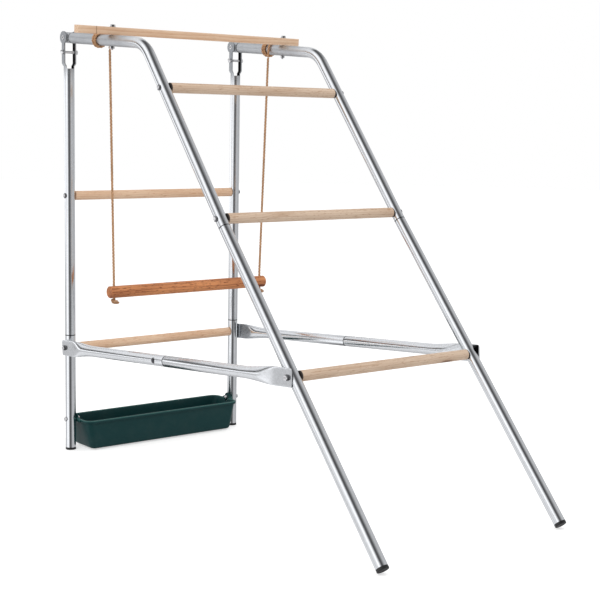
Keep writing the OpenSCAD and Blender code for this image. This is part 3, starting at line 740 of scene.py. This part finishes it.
class PERCH_OT_camera(bpy.types.Operator):
    """Sets up the camera."""

    bl_idname = "perch.camera"
    bl_label = "Camera"

    def execute(self, context):
        sight = context.scene.perch_sight
        data = bpy.data.cameras.new("Camera")
        data.sensor_width = 36.0
        data.lens = sight.focal
        data.shift_x, data.shift_y = sight.shift
        data.clip_start, data.clip_end = 0.1, 100.0
        camera = bpy.data.objects.new("Camera", data)
        context.scene.collection.objects.link(camera)
        turn = spin(sight.yaw, "Z") @ spin(QUARTER + sight.pitch) @ spin(sight.roll, "Z")
        camera.matrix_world = Matrix.Translation(Vector(sight.spot)) @ turn
        context.scene.camera = camera
        return {"FINISHED"}


class PERCH_OT_ropes(bpy.types.Operator):
    """Hangs the swing's two ropes, with their lashings and stopper knots."""

    bl_idname = "perch.ropes"
    bl_label = "Ropes"

    def execute(self, context):
        rope = context.scene.perch_rope
        tone = context.scene.perch_finish.rope
        finish = Finish("Natural rope", "fibre", {"Tone": tone, "Stray": 1.0},
                        relief=0.0005, strength=0.8, Specular_IOR_Level=0.2)
        radius = rope.diameter / 2
        lash_r = TUBE_R + SLIP + radius
        step = rope.lay / 12
        hinge = down(PIVOT, RAIL_FALL, rope.at, -rope.drop - radius - SLIP)
        bar_low, bar_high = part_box("swing_bar")
        past_hole = 0.012

        def twisted(path, name, body, nodes, **ends):
            """One twisted piece of rope."""
            rings = rope_rings(path, radius, rope.lay, **ends)
            return Skin().add(rings).piece(name, finish, "rope", nodes, body, crease=80.0)

        for label, side in SIDES.items():
            lashing = curve_through(self.lashing(rope, side, lash_r), step)
            twisted(lashing, f"rope_lashing_{label}_twist", "frame", [f"rope_lashing_{label}"],
                    last=CUT_END)
            top = at_point((hinge[0], hinge[1] + radius - SLIP / 2), side * (SIDE - lash_r))
            end_x = bar_low.x + past_hole if side < 0 else bar_high.x - past_hole
            low = Vector((end_x, top.y, bar_low.z - SEAT_GAP))
            path = evenly([top, Vector((end_x, top.y, bar_high.z + past_hole)), low], step)
            hanging = twisted(path, f"swing_rope_{label}_twist", "swing", [f"swing_rope_{label}"],
                              first=ROUND_START)
            knot = twisted(self.knot(low, radius, rope.lay), f"stopper_knot_{label}", "swing",
                           ["rope_knots"] if side < 0 else [], last=CUT_END)
        return {"FINISHED"}

    def lashing(self, rope, side, lash_r):
        """Points of a rope that rises beside the rail and goes twice round it."""
        turns, steps = 2 + rope.tail / (TURN * lash_r), 52
        points = [Vector((-side * lash_r, -rope.drop * d, rope.at)) for d in (1.0, 0.66, 0.33)]
        for i in range(steps + 1):
            u = turns * i / steps
            x, y, _ = polar(lash_r, TURN * u, 0.0)
            points.append(Vector((-side * x, y, rope.at - rope.pitch * u - rope.reach * smooth(2 * u))))
        place = slope_frame(PIVOT, RAIL_FALL, side * SIDE)
        return [place @ p for p in points]

    def knot(self, top, radius, lay):
        """The path of a knot of close turns under the bar, its short end turned aside."""
        steps, turns, height = 20, 1.75, 0.0085
        points = [top + Vector((0.0, 0.0, z)) for z in (0.002, -0.0005)]
        for i in range(int(steps * turns) + 1):
            u = i / steps
            x, y, _ = polar(0.0052 * smooth(u * 3) * smooth((turns - u) * 3), TURN * u - 0.6, 0.0)
            points.append(Vector((top.x + x + 0.002 * smooth(u), top.y + y,
                                  top.z - radius - height * u / turns)))
        points += [top + Vector((0.0065, -0.002, -0.0118)), top + Vector((0.0125, -0.003, -0.0105))]
        return curve_through(points, lay / 16)


class PERCH_OT_tubes(bpy.types.Operator):
    """Finishes the posts, rails, ladder tubes and braces."""

    bl_idname = "perch.tubes"
    bl_label = "Tubes"

    def execute(self, context):
        colours = context.scene.perch_finish
        split = at_point(LADDER_SPLIT)
        self.post_finish(colours.zinc).dress("post_upper_left", "post_upper_right",
                                             "post_lower_left", "post_lower_right")
        lower = zinc("Galvanised ladder tube", colours.zinc, QUARTER - LOWER_SLOPE)
        lower.seam(split)
        lower.dress("ladder_tube_left", "ladder_tube_right")
        rails = self.rail_finish(colours.zinc, colours.rail, split)
        rails.dress("rail_left", "rail_right")
        brace = self.brace_finish(colours.zinc)
        joint_gap = 0.0008
        for label, side in SIDES.items():
            place = slope_frame(BRACE_START, -BRACE_RISE, side * BRACE_X)
            back = moved(place, 0, 0, BRACE_LEN) @ spin(math.pi, "Y")
            for end, rings, at in (
                    ("rear", self.squeezed(BRACE_JOINT), place),
                    ("front", self.squeezed(BRACE_LEN - BRACE_JOINT - joint_gap, neck=True), back)):
                Skin().add(rings, at).piece(f"brace_{end}_{label}_squeezed", brace,
                                            "galvanised_tube", [f"brace_{end}_{label}"], crease=30.0)
        return {"FINISHED"}

    def post_finish(self, tone):
        """Zinc with a seam at the joint, a dull fork and a dark hollow."""
        made = zinc("Galvanised post", tone)
        low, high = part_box("post_upper_left")
        made.seam((0.0, 0.0, low.z))
        hollow = made.net.group("hollow", {"Size": (high.x - low.x, high.y - low.y, 0.0)})["Mask"]
        fork_drop = 0.018
        fork = made.ring((0.0, 0.0, high.z - fork_drop), ALONG_Z, reach=0.1)
        made.shade(fork, 1.0, (0.50, 0.52, 0.54, 1.0))
        made.dull(fork, 0.42)
        made.shade(hollow)
        made.dull(hollow, 0.85)
        return made

    def brace_finish(self, tone):
        """Zinc with a seam, painted shade round each spring button and painted shade on the inner faces
        of the front tips.
        """
        past_bolt = 0.016
        made = zinc("Galvanised brace", tone, QUARTER + BRACE_RISE, rough=0.2)
        made.seam(at_point(down(BRACE_START, -BRACE_RISE, BRACE_JOINT)))
        # Painted shade: a black spot round each spring button, for the shade in the hole it stands in.
        for label in SIDES:
            made.shade(made.ring(middle(f"brace_button_{label}"), EVERY_WAY, reach=0.0085))
        # Painted shade: the inner faces of the front tips, past the bolt, are made black and rough.
        tip = at_point(down(BRACE_START, -BRACE_RISE, BRACE_LEN + past_bolt))
        tip_shade_spot = made.ring(tip, OFF_X, reach=0.034)
        net = made.net
        out = net.minus(net.parts(made.where)[0], MID.x)
        facing = net.times(out, net.parts(net.put("NewGeometry").outputs["Normal"])[0])
        inner = net.times(net.ramp(facing, -0.2, -0.15, 1.0, 0.0), tip_shade_spot)
        made.shade(inner)
        made.dull(inner, 0.8)
        return made

    def squeezed(self, length, neck=False):
        """A tube from its flattened tip at the bolt to its round end."""
        tip, run, flare, spread, half, corner = 0.012, 0.032, 0.066, 0.110, 0.019, 0.004
        ease = 0.0003
        rows = [-tip + corner * (1 - math.cos(QUARTER * i / 5)) for i in range(6)]
        rows += [run * i / 3 for i in range(4)]
        rows += [run + spread * i / 22 for i in range(1, 23)]
        rows += [length - 2 * ease, length]
        rings = []
        for z in rows:
            share = smooth((z - run) / flare)
            wide = half + (TUBE_R - half) * smooth((z - run) / spread)
            thick = FLAT_T / 2 + (TUBE_R - FLAT_T / 2) * share
            into = max(0.0, -tip + corner - z)
            wide -= corner - math.sqrt(max(0.0, corner ** 2 - into ** 2))
            if z > length - ease:
                wide, thick = wide - ease, thick - ease
            ring = []
            for a in angles(BRACE_ROUND):
                c, s, _ = polar(1.0, a, z)
                ring.append((thick * math.copysign(abs(c) ** (0.16 + 0.84 * share), c),
                             wide * math.copysign(abs(s) ** (0.55 + 0.45 * share), s), z))
            rings.append(ring)
        if neck:
            slim = TUBE_R - 0.0018
            rings += [circle(slim, length + z, BRACE_ROUND) for z in (0.0001, 0.0468)]
        return rings

    def rail_finish(self, tone, dull_tone, split):
        """Zinc that is dull along the rail, and bright past the bend."""
        made = zinc("Galvanised rail", tone, QUARTER - LADDER_SLOPE)
        net = made.net
        second = net.group("zinc", {"Vector": net.turned(made.where, QUARTER - RAIL_FALL),
                                    **coat_values(dull_tone, 0.55)})
        corner_y, before, past = MID.y + CORNER[0], 0.01, 0.09
        share = net.ramp(net.parts(made.where)[1], corner_y - before, corner_y + past)
        net.feed(net.blended(share, made.coat["Color"], second["Color"]), made.surface["Base Color"])
        net.feed(net.mixed(share, made.coat["Roughness"], second["Roughness"]),
                 made.surface["Roughness"])
        end_y = -0.0195
        end = net.group("ring", {"Vector": made.where, "Middle": at_point((end_y, 0.0)),
                                 "Factors": ALONG_Y, "Reach": 0.0022})["Mask"]
        made.shade(end, 0.8)
        made.seam(split)
        return made


class PERCH_OT_timber(bpy.types.Operator):
    """Finishes the perches, the beam and the swing bar."""

    bl_idname = "perch.timber"
    bl_label = "Timber"

    def execute(self, context):
        colours = context.scene.perch_finish
        pale = (colours.pale_wood, colours.pale_grain)
        warm = (colours.warm_wood, colours.warm_grain)
        for node, pith, tones, knots in (
                ("perch_top", (0.31, 0.43, -0.90), pale, 0.25),
                ("perch_middle", (1.72, 0.64, -0.63), pale, 0.35),
                ("perch_bottom", (2.45, 0.90, -0.33), pale, 0.30),
                ("rear_perch_upper", (3.12, 0.0, -0.64), warm, 0.3),
                ("rear_perch_lower", (4.66, 0.0, -0.27), warm, 0.3)):
            finish = self.wood(f"Timber of {node}", tones, pith, width=0.0045, rings=0.5,
                               flecks=0.7, knots=knots)
            # Painted shadow: a dark band at each end of the ladder perches, where they meet the tubes.
            if tones == pale:
                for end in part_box(node):
                    finish.shade(finish.ring(end, ALONG_X, reach=0.0036), 0.95)
            finish.dress(node)
        bar = self.wood("Timber of the swing bar", (colours.bar_wood, colours.bar_grain),
                        (5.2, 0.19, -0.42), width=0.005, rings=0.5, flecks=1.0, knots=0.18)
        bar.dress("swing_bar")
        beam = self.wood("Timber of the beam", warm, (6.4, 0.16, -1.05), width=0.0055,
                         rings=0.6, flecks=0.2, knots=0.2)
        low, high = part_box("top_beam")
        # A thin dark brown line across the beam's face, 46 mm in from its left end.
        dark_line_x = low.x + 0.046
        beam.shade(beam.ring((dark_line_x, 0.0, 0.0), ALONG_X, reach=0.0016), 0.55,
                   (0.20, 0.07, 0.03, 1.0))
        self.beam(beam, low.x - MID.x, high.x - MID.x)
        return {"FINISHED"}

    def wood(self, name, tones, pith, width, rings, flecks, knots):
        """Timber whose pith lies off the piece by an offset, with rings of one width."""
        x, y, z = pith
        values = {"Pith": (x, y - MID.y, z), "Light Tone": tones[0], "Dark Tone": tones[1],
                  "Ring Width": width, "Rings": rings, "Flecks": flecks, "Knots": knots}
        return Finish(name, "timber", values, relief=0.0004, strength=0.5, Specular_IOR_Level=0.35)

    def beam(self, finish, left, right):
        """The sawn beam, its long edges eased and its ends crisp."""
        half, ease, crisp, parts = BEAM / 2, 0.0009, 0.0004, 12
        place = moved(slope_frame(PIVOT, RAIL_FALL), 0.0, OUTER_FACE + half, BEAM_AT)
        place = place @ spin(QUARTER, "Y")
        rows = [(left, crisp), (left + crisp, 0.0)]
        rows += [(left + (right - left) * i / parts, 0.0) for i in range(1, parts)]
        rows += [(right - crisp, 0.0), (right, crisp)]
        rings = [sum(arcs(half - inset, half - inset, ease - inset, x, 3), []) for x, inset in rows]
        Skin().add(rings, place).piece("top_beam_sawn", finish, "pale_wood", ["top_beam"])


class PERCH_OT_trough(bpy.types.Operator):
    """Moulds the feeding trough."""

    bl_idname = "perch.trough"
    bl_label = "Trough"

    def execute(self, context):
        size = context.scene.perch_trough
        finish = Finish("Green moulded plastic", "mould",
                        {"Tone": context.scene.perch_finish.trough, "Dust": 0.04, "Scuffs": 0.15,
                         "Base Roughness": 0.42},
                        relief=0.00008, strength=0.2, Specular_IOR_Level=0.16)
        # Painted highlight: a lighter teal band along the top of the rim.
        painted_rim_highlight = finish.ring((0.0, 0.0, size.top + 0.0005), ALONG_Z, reach=0.0034)
        finish.shade(painted_rim_highlight, 0.8, (0.055, 0.15, 0.14, 1.0))
        low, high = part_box("feeding_trough")
        end_room = 0.0015
        half_l = SIDE - OUTER_FACE - end_room - size.rim
        half_w = (high.y - low.y) / 2 - size.rim
        rings = [self.loop(size, half_l, half_w, *row) for row in self.profile(size)]
        skin = Skin().add(rings, Matrix.Translation((MID.x, MID.y, 0.0)))
        for side in SIDES.values():
            skin.add(self.ear(size, side))
        skin.piece("feeding_trough_moulded", finish, "green_plastic", ["feeding_trough"], crease=50.0)
        return {"FINISHED"}

    def profile(self, size):
        """Offsets from the leaning wall and heights, from the outer floor over the rim and in."""
        wall, rim, top, low, under = size.wall, size.rim, size.top, size.lift, size.top - size.lip
        bend, roll, hub, flat = 0.006, 0.0028, -0.036, 0.004
        floor = low + wall
        quarter = [QUARTER * i / 6 for i in range(7)]
        rows = [(hub, low), (-bend - flat, low)]
        rows += [(-bend * (1 - math.sin(a)), low + bend * (1 - math.cos(a))) for a in quarter[1:]]
        rows += [(0.0, z) for z in (0.020, 0.035, 0.050, 0.060, under + 0.001, top - 0.0034)]
        lip = rim - 0.0024
        rows += [(0.0003, top - 0.0029), (lip - 0.0004, top - 0.0027), (lip, top - 0.0032),
                 (lip, under + 0.0006), (lip + 0.0005, under), (rim - 0.0006, under),
                 (rim, under + 0.0007)]
        rows += [(rim - roll * (1 - math.cos(a)), top - roll * (1 - math.sin(a))) for a in quarter]
        rows += [(-wall + 0.0014, top), (-wall + 0.0004, top - 0.0004), (-wall, top - 0.0014)]
        rows += [(-wall, z) for z in (0.062, 0.050, 0.035, 0.022, floor + bend)]
        rows += [(-wall - bend * (1 - math.cos(a)), floor + bend * (1 - math.sin(a)))
                 for a in quarter[1:]]
        return rows + [(hub, floor)]

    def loop(self, size, half_l, half_w, out, z):
        """A rounded rectangle of points, dipped at each end to clear the nut."""
        share = (size.top - z) / (size.top - size.lift)
        long, wide = half_l + out - size.end_draft * share, half_w + out - size.draft * share
        corner = max(0.004, size.corner * (1 - 0.3 * share) + out)
        room, steps = 0.00877, 6
        dip = []
        for k in range(-steps, steps + 1):
            y = room * math.sin(QUARTER * k / steps)
            dip.append((y, min(z, EAR_BOLT[1] - math.sqrt(max(0.0, room ** 2 - y ** 2)))))
        one, two, three, four = arcs(long, wide, corner, z, 10)
        return [*one, *two, *[(-long, -y, at) for y, at in dip],
                *three, *four, *[(long, y, at) for y, at in dip]]

    def ear(self, size, side):
        """The tab at one end that takes the bolt, with eased edges."""
        radius, base, ease, steps = 0.012, 0.022, 0.0006, 16
        outline = [(-base, size.top - size.lip), (-base, size.top)]
        start = math.asin(0.3)
        for k in range(steps + 1):
            y, z, _ = polar(radius, math.pi - start - (math.pi - 2 * start) * k / steps, 0.0)
            outline.append((y, EAR_BOLT[1] + z))
        outline += [(base, size.top), (base, size.top - size.lip)]
        out_x = MID.x + side * (SIDE - OUTER_FACE)
        rings = []
        for depth, inset in ((0.0, ease), (ease, 0.0), (EAR_T - ease, 0.0), (EAR_T, ease)):
            ring = []
            for y, z in outline:
                away = Vector((y, z - size.top))
                pull = away * (1 - inset / max(away.length, 10 * ease))
                ring.append((out_x - side * depth, MID.y + pull.x, size.top + pull.y))
            rings.append(ring)
        return rings


class PERCH_OT_fasteners(bpy.types.Operator):
    """Fits the bolts, nuts, screws, washers and rivets."""

    bl_idname = "perch.fasteners"
    bl_label = "Fasteners"

    def execute(self, context):
        finish = zinc("Zinc plated steel", context.scene.perch_finish.plate, rough=0.14,
                      spangle=0.1, size=0.002)
        # Painted shade: the washers are a darker copy of the plated steel, for the dark ring round each
        # head.
        dark = zinc("Plated washer with painted shade", (0.30, 0.30, 0.31, 1.0), rough=0.3, spangle=0.1, size=0.002)
        skins = {name: Skin() for name in (
            "perch_screws", "perch_screw_washers", "brace_bolts", "brace_bolt_washers",
            "beam_bolts", "beam_bolt_washers", "beam_nuts", "pivot_rivets", "clamp_bolts",
            "clamp_nuts", "trough_bolts", "trough_nuts")}
        for side in SIDES.values():
            self.fit(skins, side)
        for name, skin in skins.items():
            look = dark if name.endswith("washers") else finish
            skin.piece(f"{name}_detailed", look, "zinc_fasteners", [name], crease=32.0)
        return {"FINISHED"}

    def fit(self, skins, side):
        """All the fasteners of one side, each along an axis that points out of its hole."""
        for point in (PERCH_1, PERCH_2, REAR_PERCH):
            place = outward_frame(side, point)
            self.washer(skins["perch_screw_washers"], place, OUTER_FACE, SCREW_BORE)
            self.screw(skins["perch_screws"], place, OUTER_FACE + WASHER_T + SEAT_GAP,
                       OUTER_FACE + WASHER_T + TUBE_R + PERCH_DEPTH - 0.004)
        for point in (BRACE_START, PERCH_3):
            place = outward_frame(side, point)
            self.washer(skins["brace_bolt_washers"], place, PLATE_FACE + SEAT_GAP, BOLT_BORE)
            self.bolt(skins["brace_bolts"], place, PLATE_FACE + WASHER_T + 2 * SEAT_GAP,
                      PLATE_FACE + WASHER_T + TUBE_R + PERCH_DEPTH, thread=0.030)
        beam = moved(slope_frame(PIVOT, RAIL_FALL, side * SIDE), 0.0, 0.0, BEAM_AT) @ spin(-QUARTER)
        head = OUTER_FACE + BEAM + WASHER_T + 2 * SEAT_GAP
        self.washer(skins["beam_bolt_washers"], beam, OUTER_FACE + BEAM + SEAT_GAP, BOLT_BORE)
        self.bolt(skins["beam_bolts"], beam, head, head + OUTER_FACE + NUT_T + PAST_NUT, thread=0.016)
        self.nut(skins["beam_nuts"], beam, OUTER_FACE)
        lug = TUBE_R + SLIP + LUG_T + SEAT_GAP
        self.rivet(skins["pivot_rivets"], outward_frame(side, PIVOT), lug)
        clamp = outward_frame(side, (0.0, PIVOT[1] - CLAMP_DROP))
        self.bolt(skins["clamp_bolts"], clamp, lug, 2 * lug + NUT_T + 0.0015, thread=0.014)
        self.nut(skins["clamp_nuts"], clamp, lug)
        ear = outward_frame(side, EAR_BOLT)
        inner = OUTER_FACE + EAR_T + SEAT_GAP
        self.bolt(skins["trough_bolts"], ear, OUTER_FACE, OUTER_FACE + inner + NUT_T + PAST_NUT,
                  thread=0.014)
        self.nut(skins["trough_nuts"], ear, inner)

    def washer(self, skin, place, height, bore):
        """A flat washer with eased edges."""
        r, t, e = WASHER_R, WASHER_T, 0.0002
        profile = [(bore, 0.0), (r - e, 0.0), (r, e), (r, t - e), (r - e, t), (bore + e, t),
                   (bore, t - e)]
        skin.add(turned(profile), moved(place, 0, 0, height), looped=True)

    def nut(self, skin, place, depth):
        """A nut that ends at a depth below the frame."""
        skin.add(hex_nut(), moved(place, 0, 0, -depth - NUT_T), looped=True)

    def bolt(self, skin, place, head, length, thread):
        """A hexagon bolt whose thread shows at its end."""
        at, plain = moved(place, 0, 0, head), thread - length
        skin.add(hex_head(), at)
        skin.add([circle(SHANK_R, z, THIN) for z in (0.0005, plain)], at)
        thread_r = SHANK_R + 0.00002
        skin.add(threaded(thread_r, plain, -length, pitch=0.001, depth=0.0005, taper=0.0006), at)

    def screw(self, skin, place, head, length):
        """A pan head screw with a cross recess and a pointed thread."""
        at, plain, shank = moved(place, 0, 0, head), -0.014, 0.0019
        rings = turned([(0.0020, 0.0), (0.0043, 0.0), (0.0045, 0.0003), (0.00445, 0.0010),
                        (0.0040, 0.0018), (0.0032, 0.0024), (0.0027, 0.0026)])
        for height, reach in ((0.00255, 0.0022), (0.0012, 0.0017), (0.0010, 0.0006)):
            rings.append([polar(reach * (0.38 + 0.62 * abs(math.cos(2 * a)) ** 6), a, height)
                          for a in angles(ROUND)])
        skin.add(rings, at)
        skin.add([circle(shank, z, THIN) for z in (0.0004, plain)], at)
        tip, thread_r = -length - 0.003, 0.0020
        skin.add(threaded(thread_r, plain, tip, pitch=0.0018, depth=0.0007, taper=0.006), at)

    def rivet(self, skin, place, lug):
        """A tubular rivet with rolled heads."""
        outer, bore, shank = 0.0055, 0.0016, 0.0029
        head = [(bore, 0.0006), (bore + 0.0006, 0.0014), (bore + 0.0016, 0.0016),
                (outer - 0.0014, 0.0014), (outer - 0.0003, 0.0008), (outer, 0.0002),
                (outer - 0.0001, 0.0), (shank, 0.0)]
        one = [(r, lug + z) for r, z in head]
        skin.add(turned(one + [(r, -z) for r, z in reversed(one)]), place, looped=True)


class PERCH_OT_plastic(bpy.types.Operator):
    """Fits the foot caps and finishes the spring buttons of the braces."""

    bl_idname = "perch.plastic"
    bl_label = "Caps and buttons"

    def execute(self, context):
        finish = Finish("Black moulded plastic", "mould",
                        {"Tone": context.scene.perch_finish.cap, "Dust": 0.05, "Scuffs": 0.5,
                         "Base Roughness": 0.42}, relief=0.0001, strength=0.3)
        rear = Skin()
        for side in SIDES.values():
            rear.add(self.cap(), Matrix.Translation(MID + Vector((side * SIDE, 0, 0))))
        rear.piece("rear_feet_moulded", finish, "black_plastic", ["rear_feet"])
        ease = 0.001
        reach = max((TUBE_R - ease) * math.cos(LOWER_SLOPE),
                    TUBE_R * math.cos(LOWER_SLOPE) - ease * math.sin(LOWER_SLOPE))
        foot = down(LADDER_SPLIT, LOWER_SLOPE, (LADDER_SPLIT[1] - reach) / math.sin(LOWER_SLOPE))
        pin = zinc("Blued button steel", (0.10, 0.10, 0.11, 1.0), rough=0.35, size=0.002)
        for label, side in SIDES.items():
            place = slope_frame(foot, LOWER_SLOPE, side * SIDE) @ spin(math.pi, "Y")
            Skin().add(self.cap(), place).piece(f"front_foot_{label}_moulded", finish,
                                                "black_plastic", [f"front_foot_{label}"])
            pin.dress(f"brace_button_{label}")
        return {"FINISHED"}

    def cap(self):
        """A ribbed cap whose outer face lies at z = 0."""
        r, h, bore, hub = TUBE_R, 0.0058, 0.0107, 0.0030
        profile = [(hub, 0.0004), (0.0036, 0.0), (0.0068, 0.0), (0.0072, 0.0004), (0.0082, 0.0004),
                   (0.0086, 0.0), (r - 0.0010, 0.0), (r - 0.0003, 0.0003), (r, 0.0010),
                   (r, h - 0.0004), (r - 0.0003, h), (bore, h)]
        for rib in (0.003, 0.008):
            profile += [(bore, h + rib), (bore + 0.0002, h + rib + 0.0005), (bore, h + rib + 0.001)]
        profile += [(bore, h + 0.016), (bore - 0.0015, h + 0.018), (bore - hub, h + 0.018),
                    (bore - hub, h + 0.001), (hub, h + 0.001)]
        return turned(profile)


# What the metal mirrors: places from 0, where a direction's part is -1, to 1, and brightness
LEANING_BANDS = ((0.0, 0.47), (0.07, 0.56), (0.22, 0.55), (0.30, 0.38), (0.37, 0.25),
                 (0.50, 0.09), (0.62, 0.09), (0.70, 0.18), (0.76, 0.55), (0.82, 0.85),
                 (0.90, 1.25), (0.95, 1.2), (1.0, 0.75))
LEVEL_BANDS = ((0.0, 0.62), (0.20, 0.78), (0.32, 0.90), (0.38, 0.60), (0.44, 0.54), (0.47, 1.35),
               (0.515, 1.2), (0.545, 0.12), (0.625, 0.08), (0.665, 0.76), (0.75, 0.90), (1.0, 0.78))
SOFT_BANDS = ((0.0, 0.55), (0.40, 0.60), (0.43, 0.56), (0.50, 0.60), (0.58, 0.84), (1.0, 0.78))
BANDS_LEAN = (-0.891, 0.433, 0.132)


class PERCH_OT_stage(bpy.types.Operator):
    """Builds the floor, the lamps and the studio round the perch."""

    bl_idname = "perch.stage"
    bl_label = "Stage"

    def execute(self, context):
        sight = context.scene.perch_sight
        self.floor(context, sight)
        self.lamp("Key lamp", Vector((-3.2, -1.2, 3.4)), size=2.6, power=sight.key)
        self.lamp("Top lamp", Vector((1.6, -0.6, 4.2)), size=3.0, power=sight.key * 0.6)
        self.studio(context, sight)
        context.scene.view_settings.view_transform = "Standard"
        return {"FINISHED"}

    def floor(self, context, sight):
        """A wide pale floor that keeps the shadow."""
        mesh = bpy.data.meshes.new("Floor")
        work = bmesh.new()
        bmesh.ops.create_circle(work, cap_ends=True, segments=96, radius=14.0)
        work.to_mesh(mesh)
        work.free()
        made = bpy.data.materials.new("Pale floor")
        made.use_nodes = True
        net = Net(made.node_tree)
        surface = net.tree.nodes["Principled BSDF"].inputs
        seen = net.put("LightPath").outputs["Is Camera Ray"]
        for key, value in {"Base Color": sight.floor_colour, "Roughness": 0.9, "Emission Color": WHITE,
                           "Emission Strength": net.times(seen, 0.55)}.items():
            net.feed(value, surface[key])
        mesh.materials.append(made)
        floor = bpy.data.objects.new("Floor", mesh)
        floor.location.z = -0.0005
        floor.visible_glossy = False
        context.scene.collection.objects.link(floor)

    def lamp(self, name, place, size, power):
        """A soft square lamp aimed at the perch."""
        data = bpy.data.lights.new(name, "AREA")
        data.shape, data.size, data.energy = "SQUARE", size, power
        lamp = bpy.data.objects.new(name, data)
        lamp.location = place
        lamp.rotation_mode = "QUATERNION"
        lamp.rotation_quaternion = (Vector((0.0, 0.0, 0.45)) - place).to_track_quat("-Z", "Y")
        lamp.visible_glossy = False
        bpy.context.scene.collection.objects.link(lamp)

    def studio(self, context, sight):
        """White behind the perch, and bright, dark and grey bands for metal to mirror."""
        world = bpy.data.worlds.new("Studio")
        context.scene.world = world
        world.use_nodes = True
        net = Net(world.node_tree)
        net.tree.nodes.clear()
        ray = net.put("LightPath").outputs
        way = net.put("TexCoord").outputs["Generated"]
        x, y, z = net.parts(way)
        near = net.banded(net.vector("DOT_PRODUCT", way, BANDS_LEAN), LEANING_BANDS)
        far = net.blended(net.ramp(x, -0.05, 0.12), net.banded(z, LEVEL_BANDS),
                          net.banded(z, SOFT_BANDS))
        bands = net.blended(net.ramp(y, 0.42, 0.62), near, far)
        plain = net.blended(ray["Is Glossy Ray"], (sight.fill, sight.fill, sight.fill, 1.0), bands)
        shown = net.blended(ray["Is Camera Ray"], plain, WHITE)
        light = net.put("Background", {"Color": shown, "Strength": 1.0})
        net.put("OutputWorld", {0: light.outputs[0]})


class PERCH_PT_panel(bpy.types.Panel):
    """Lists the steps that dress the perch."""

    bl_label = "Poultry perch"
    bl_idname = "PERCH_PT_panel"
    bl_space_type = "VIEW_3D"
    bl_region_type = "UI"
    bl_category = "Perch"

    def draw(self, context):
        for step in STEPS:
            self.layout.operator(step.bl_idname)
        for name in SETTINGS:
            box = self.layout.box()
            settings = getattr(context.scene, name)
            for key in settings.__annotations__:
                box.prop(settings, key)


SETTINGS = {"perch_sight": PerchSight, "perch_finish": PerchFinish, "perch_rope": PerchRope,
            "perch_trough": PerchTrough}
STEPS = (PERCH_OT_camera, PERCH_OT_ropes, PERCH_OT_tubes, PERCH_OT_timber, PERCH_OT_trough,
         PERCH_OT_fasteners, PERCH_OT_plastic, PERCH_OT_stage)


def register():
    for made in (*SETTINGS.values(), *STEPS, PERCH_PT_panel):
        bpy.utils.register_class(made)
    for name, made in SETTINGS.items():
        setattr(bpy.types.Scene, name, bpy.props.PointerProperty(type=made))


def unregister():
    for name in SETTINGS:
        delattr(bpy.types.Scene, name)
    for made in (PERCH_PT_panel, *reversed(STEPS), *reversed(tuple(SETTINGS.values()))):
        bpy.utils.unregister_class(made)


def main():
    register()
    for old in [o for o in bpy.context.scene.objects if o.type in ("LIGHT", "CAMERA")]:
        bpy.data.objects.remove(old)
    for step in STEPS:
        category, name = step.bl_idname.split(".")
        getattr(getattr(bpy.ops, category), name)()


if __name__ == "__main__":
    main()
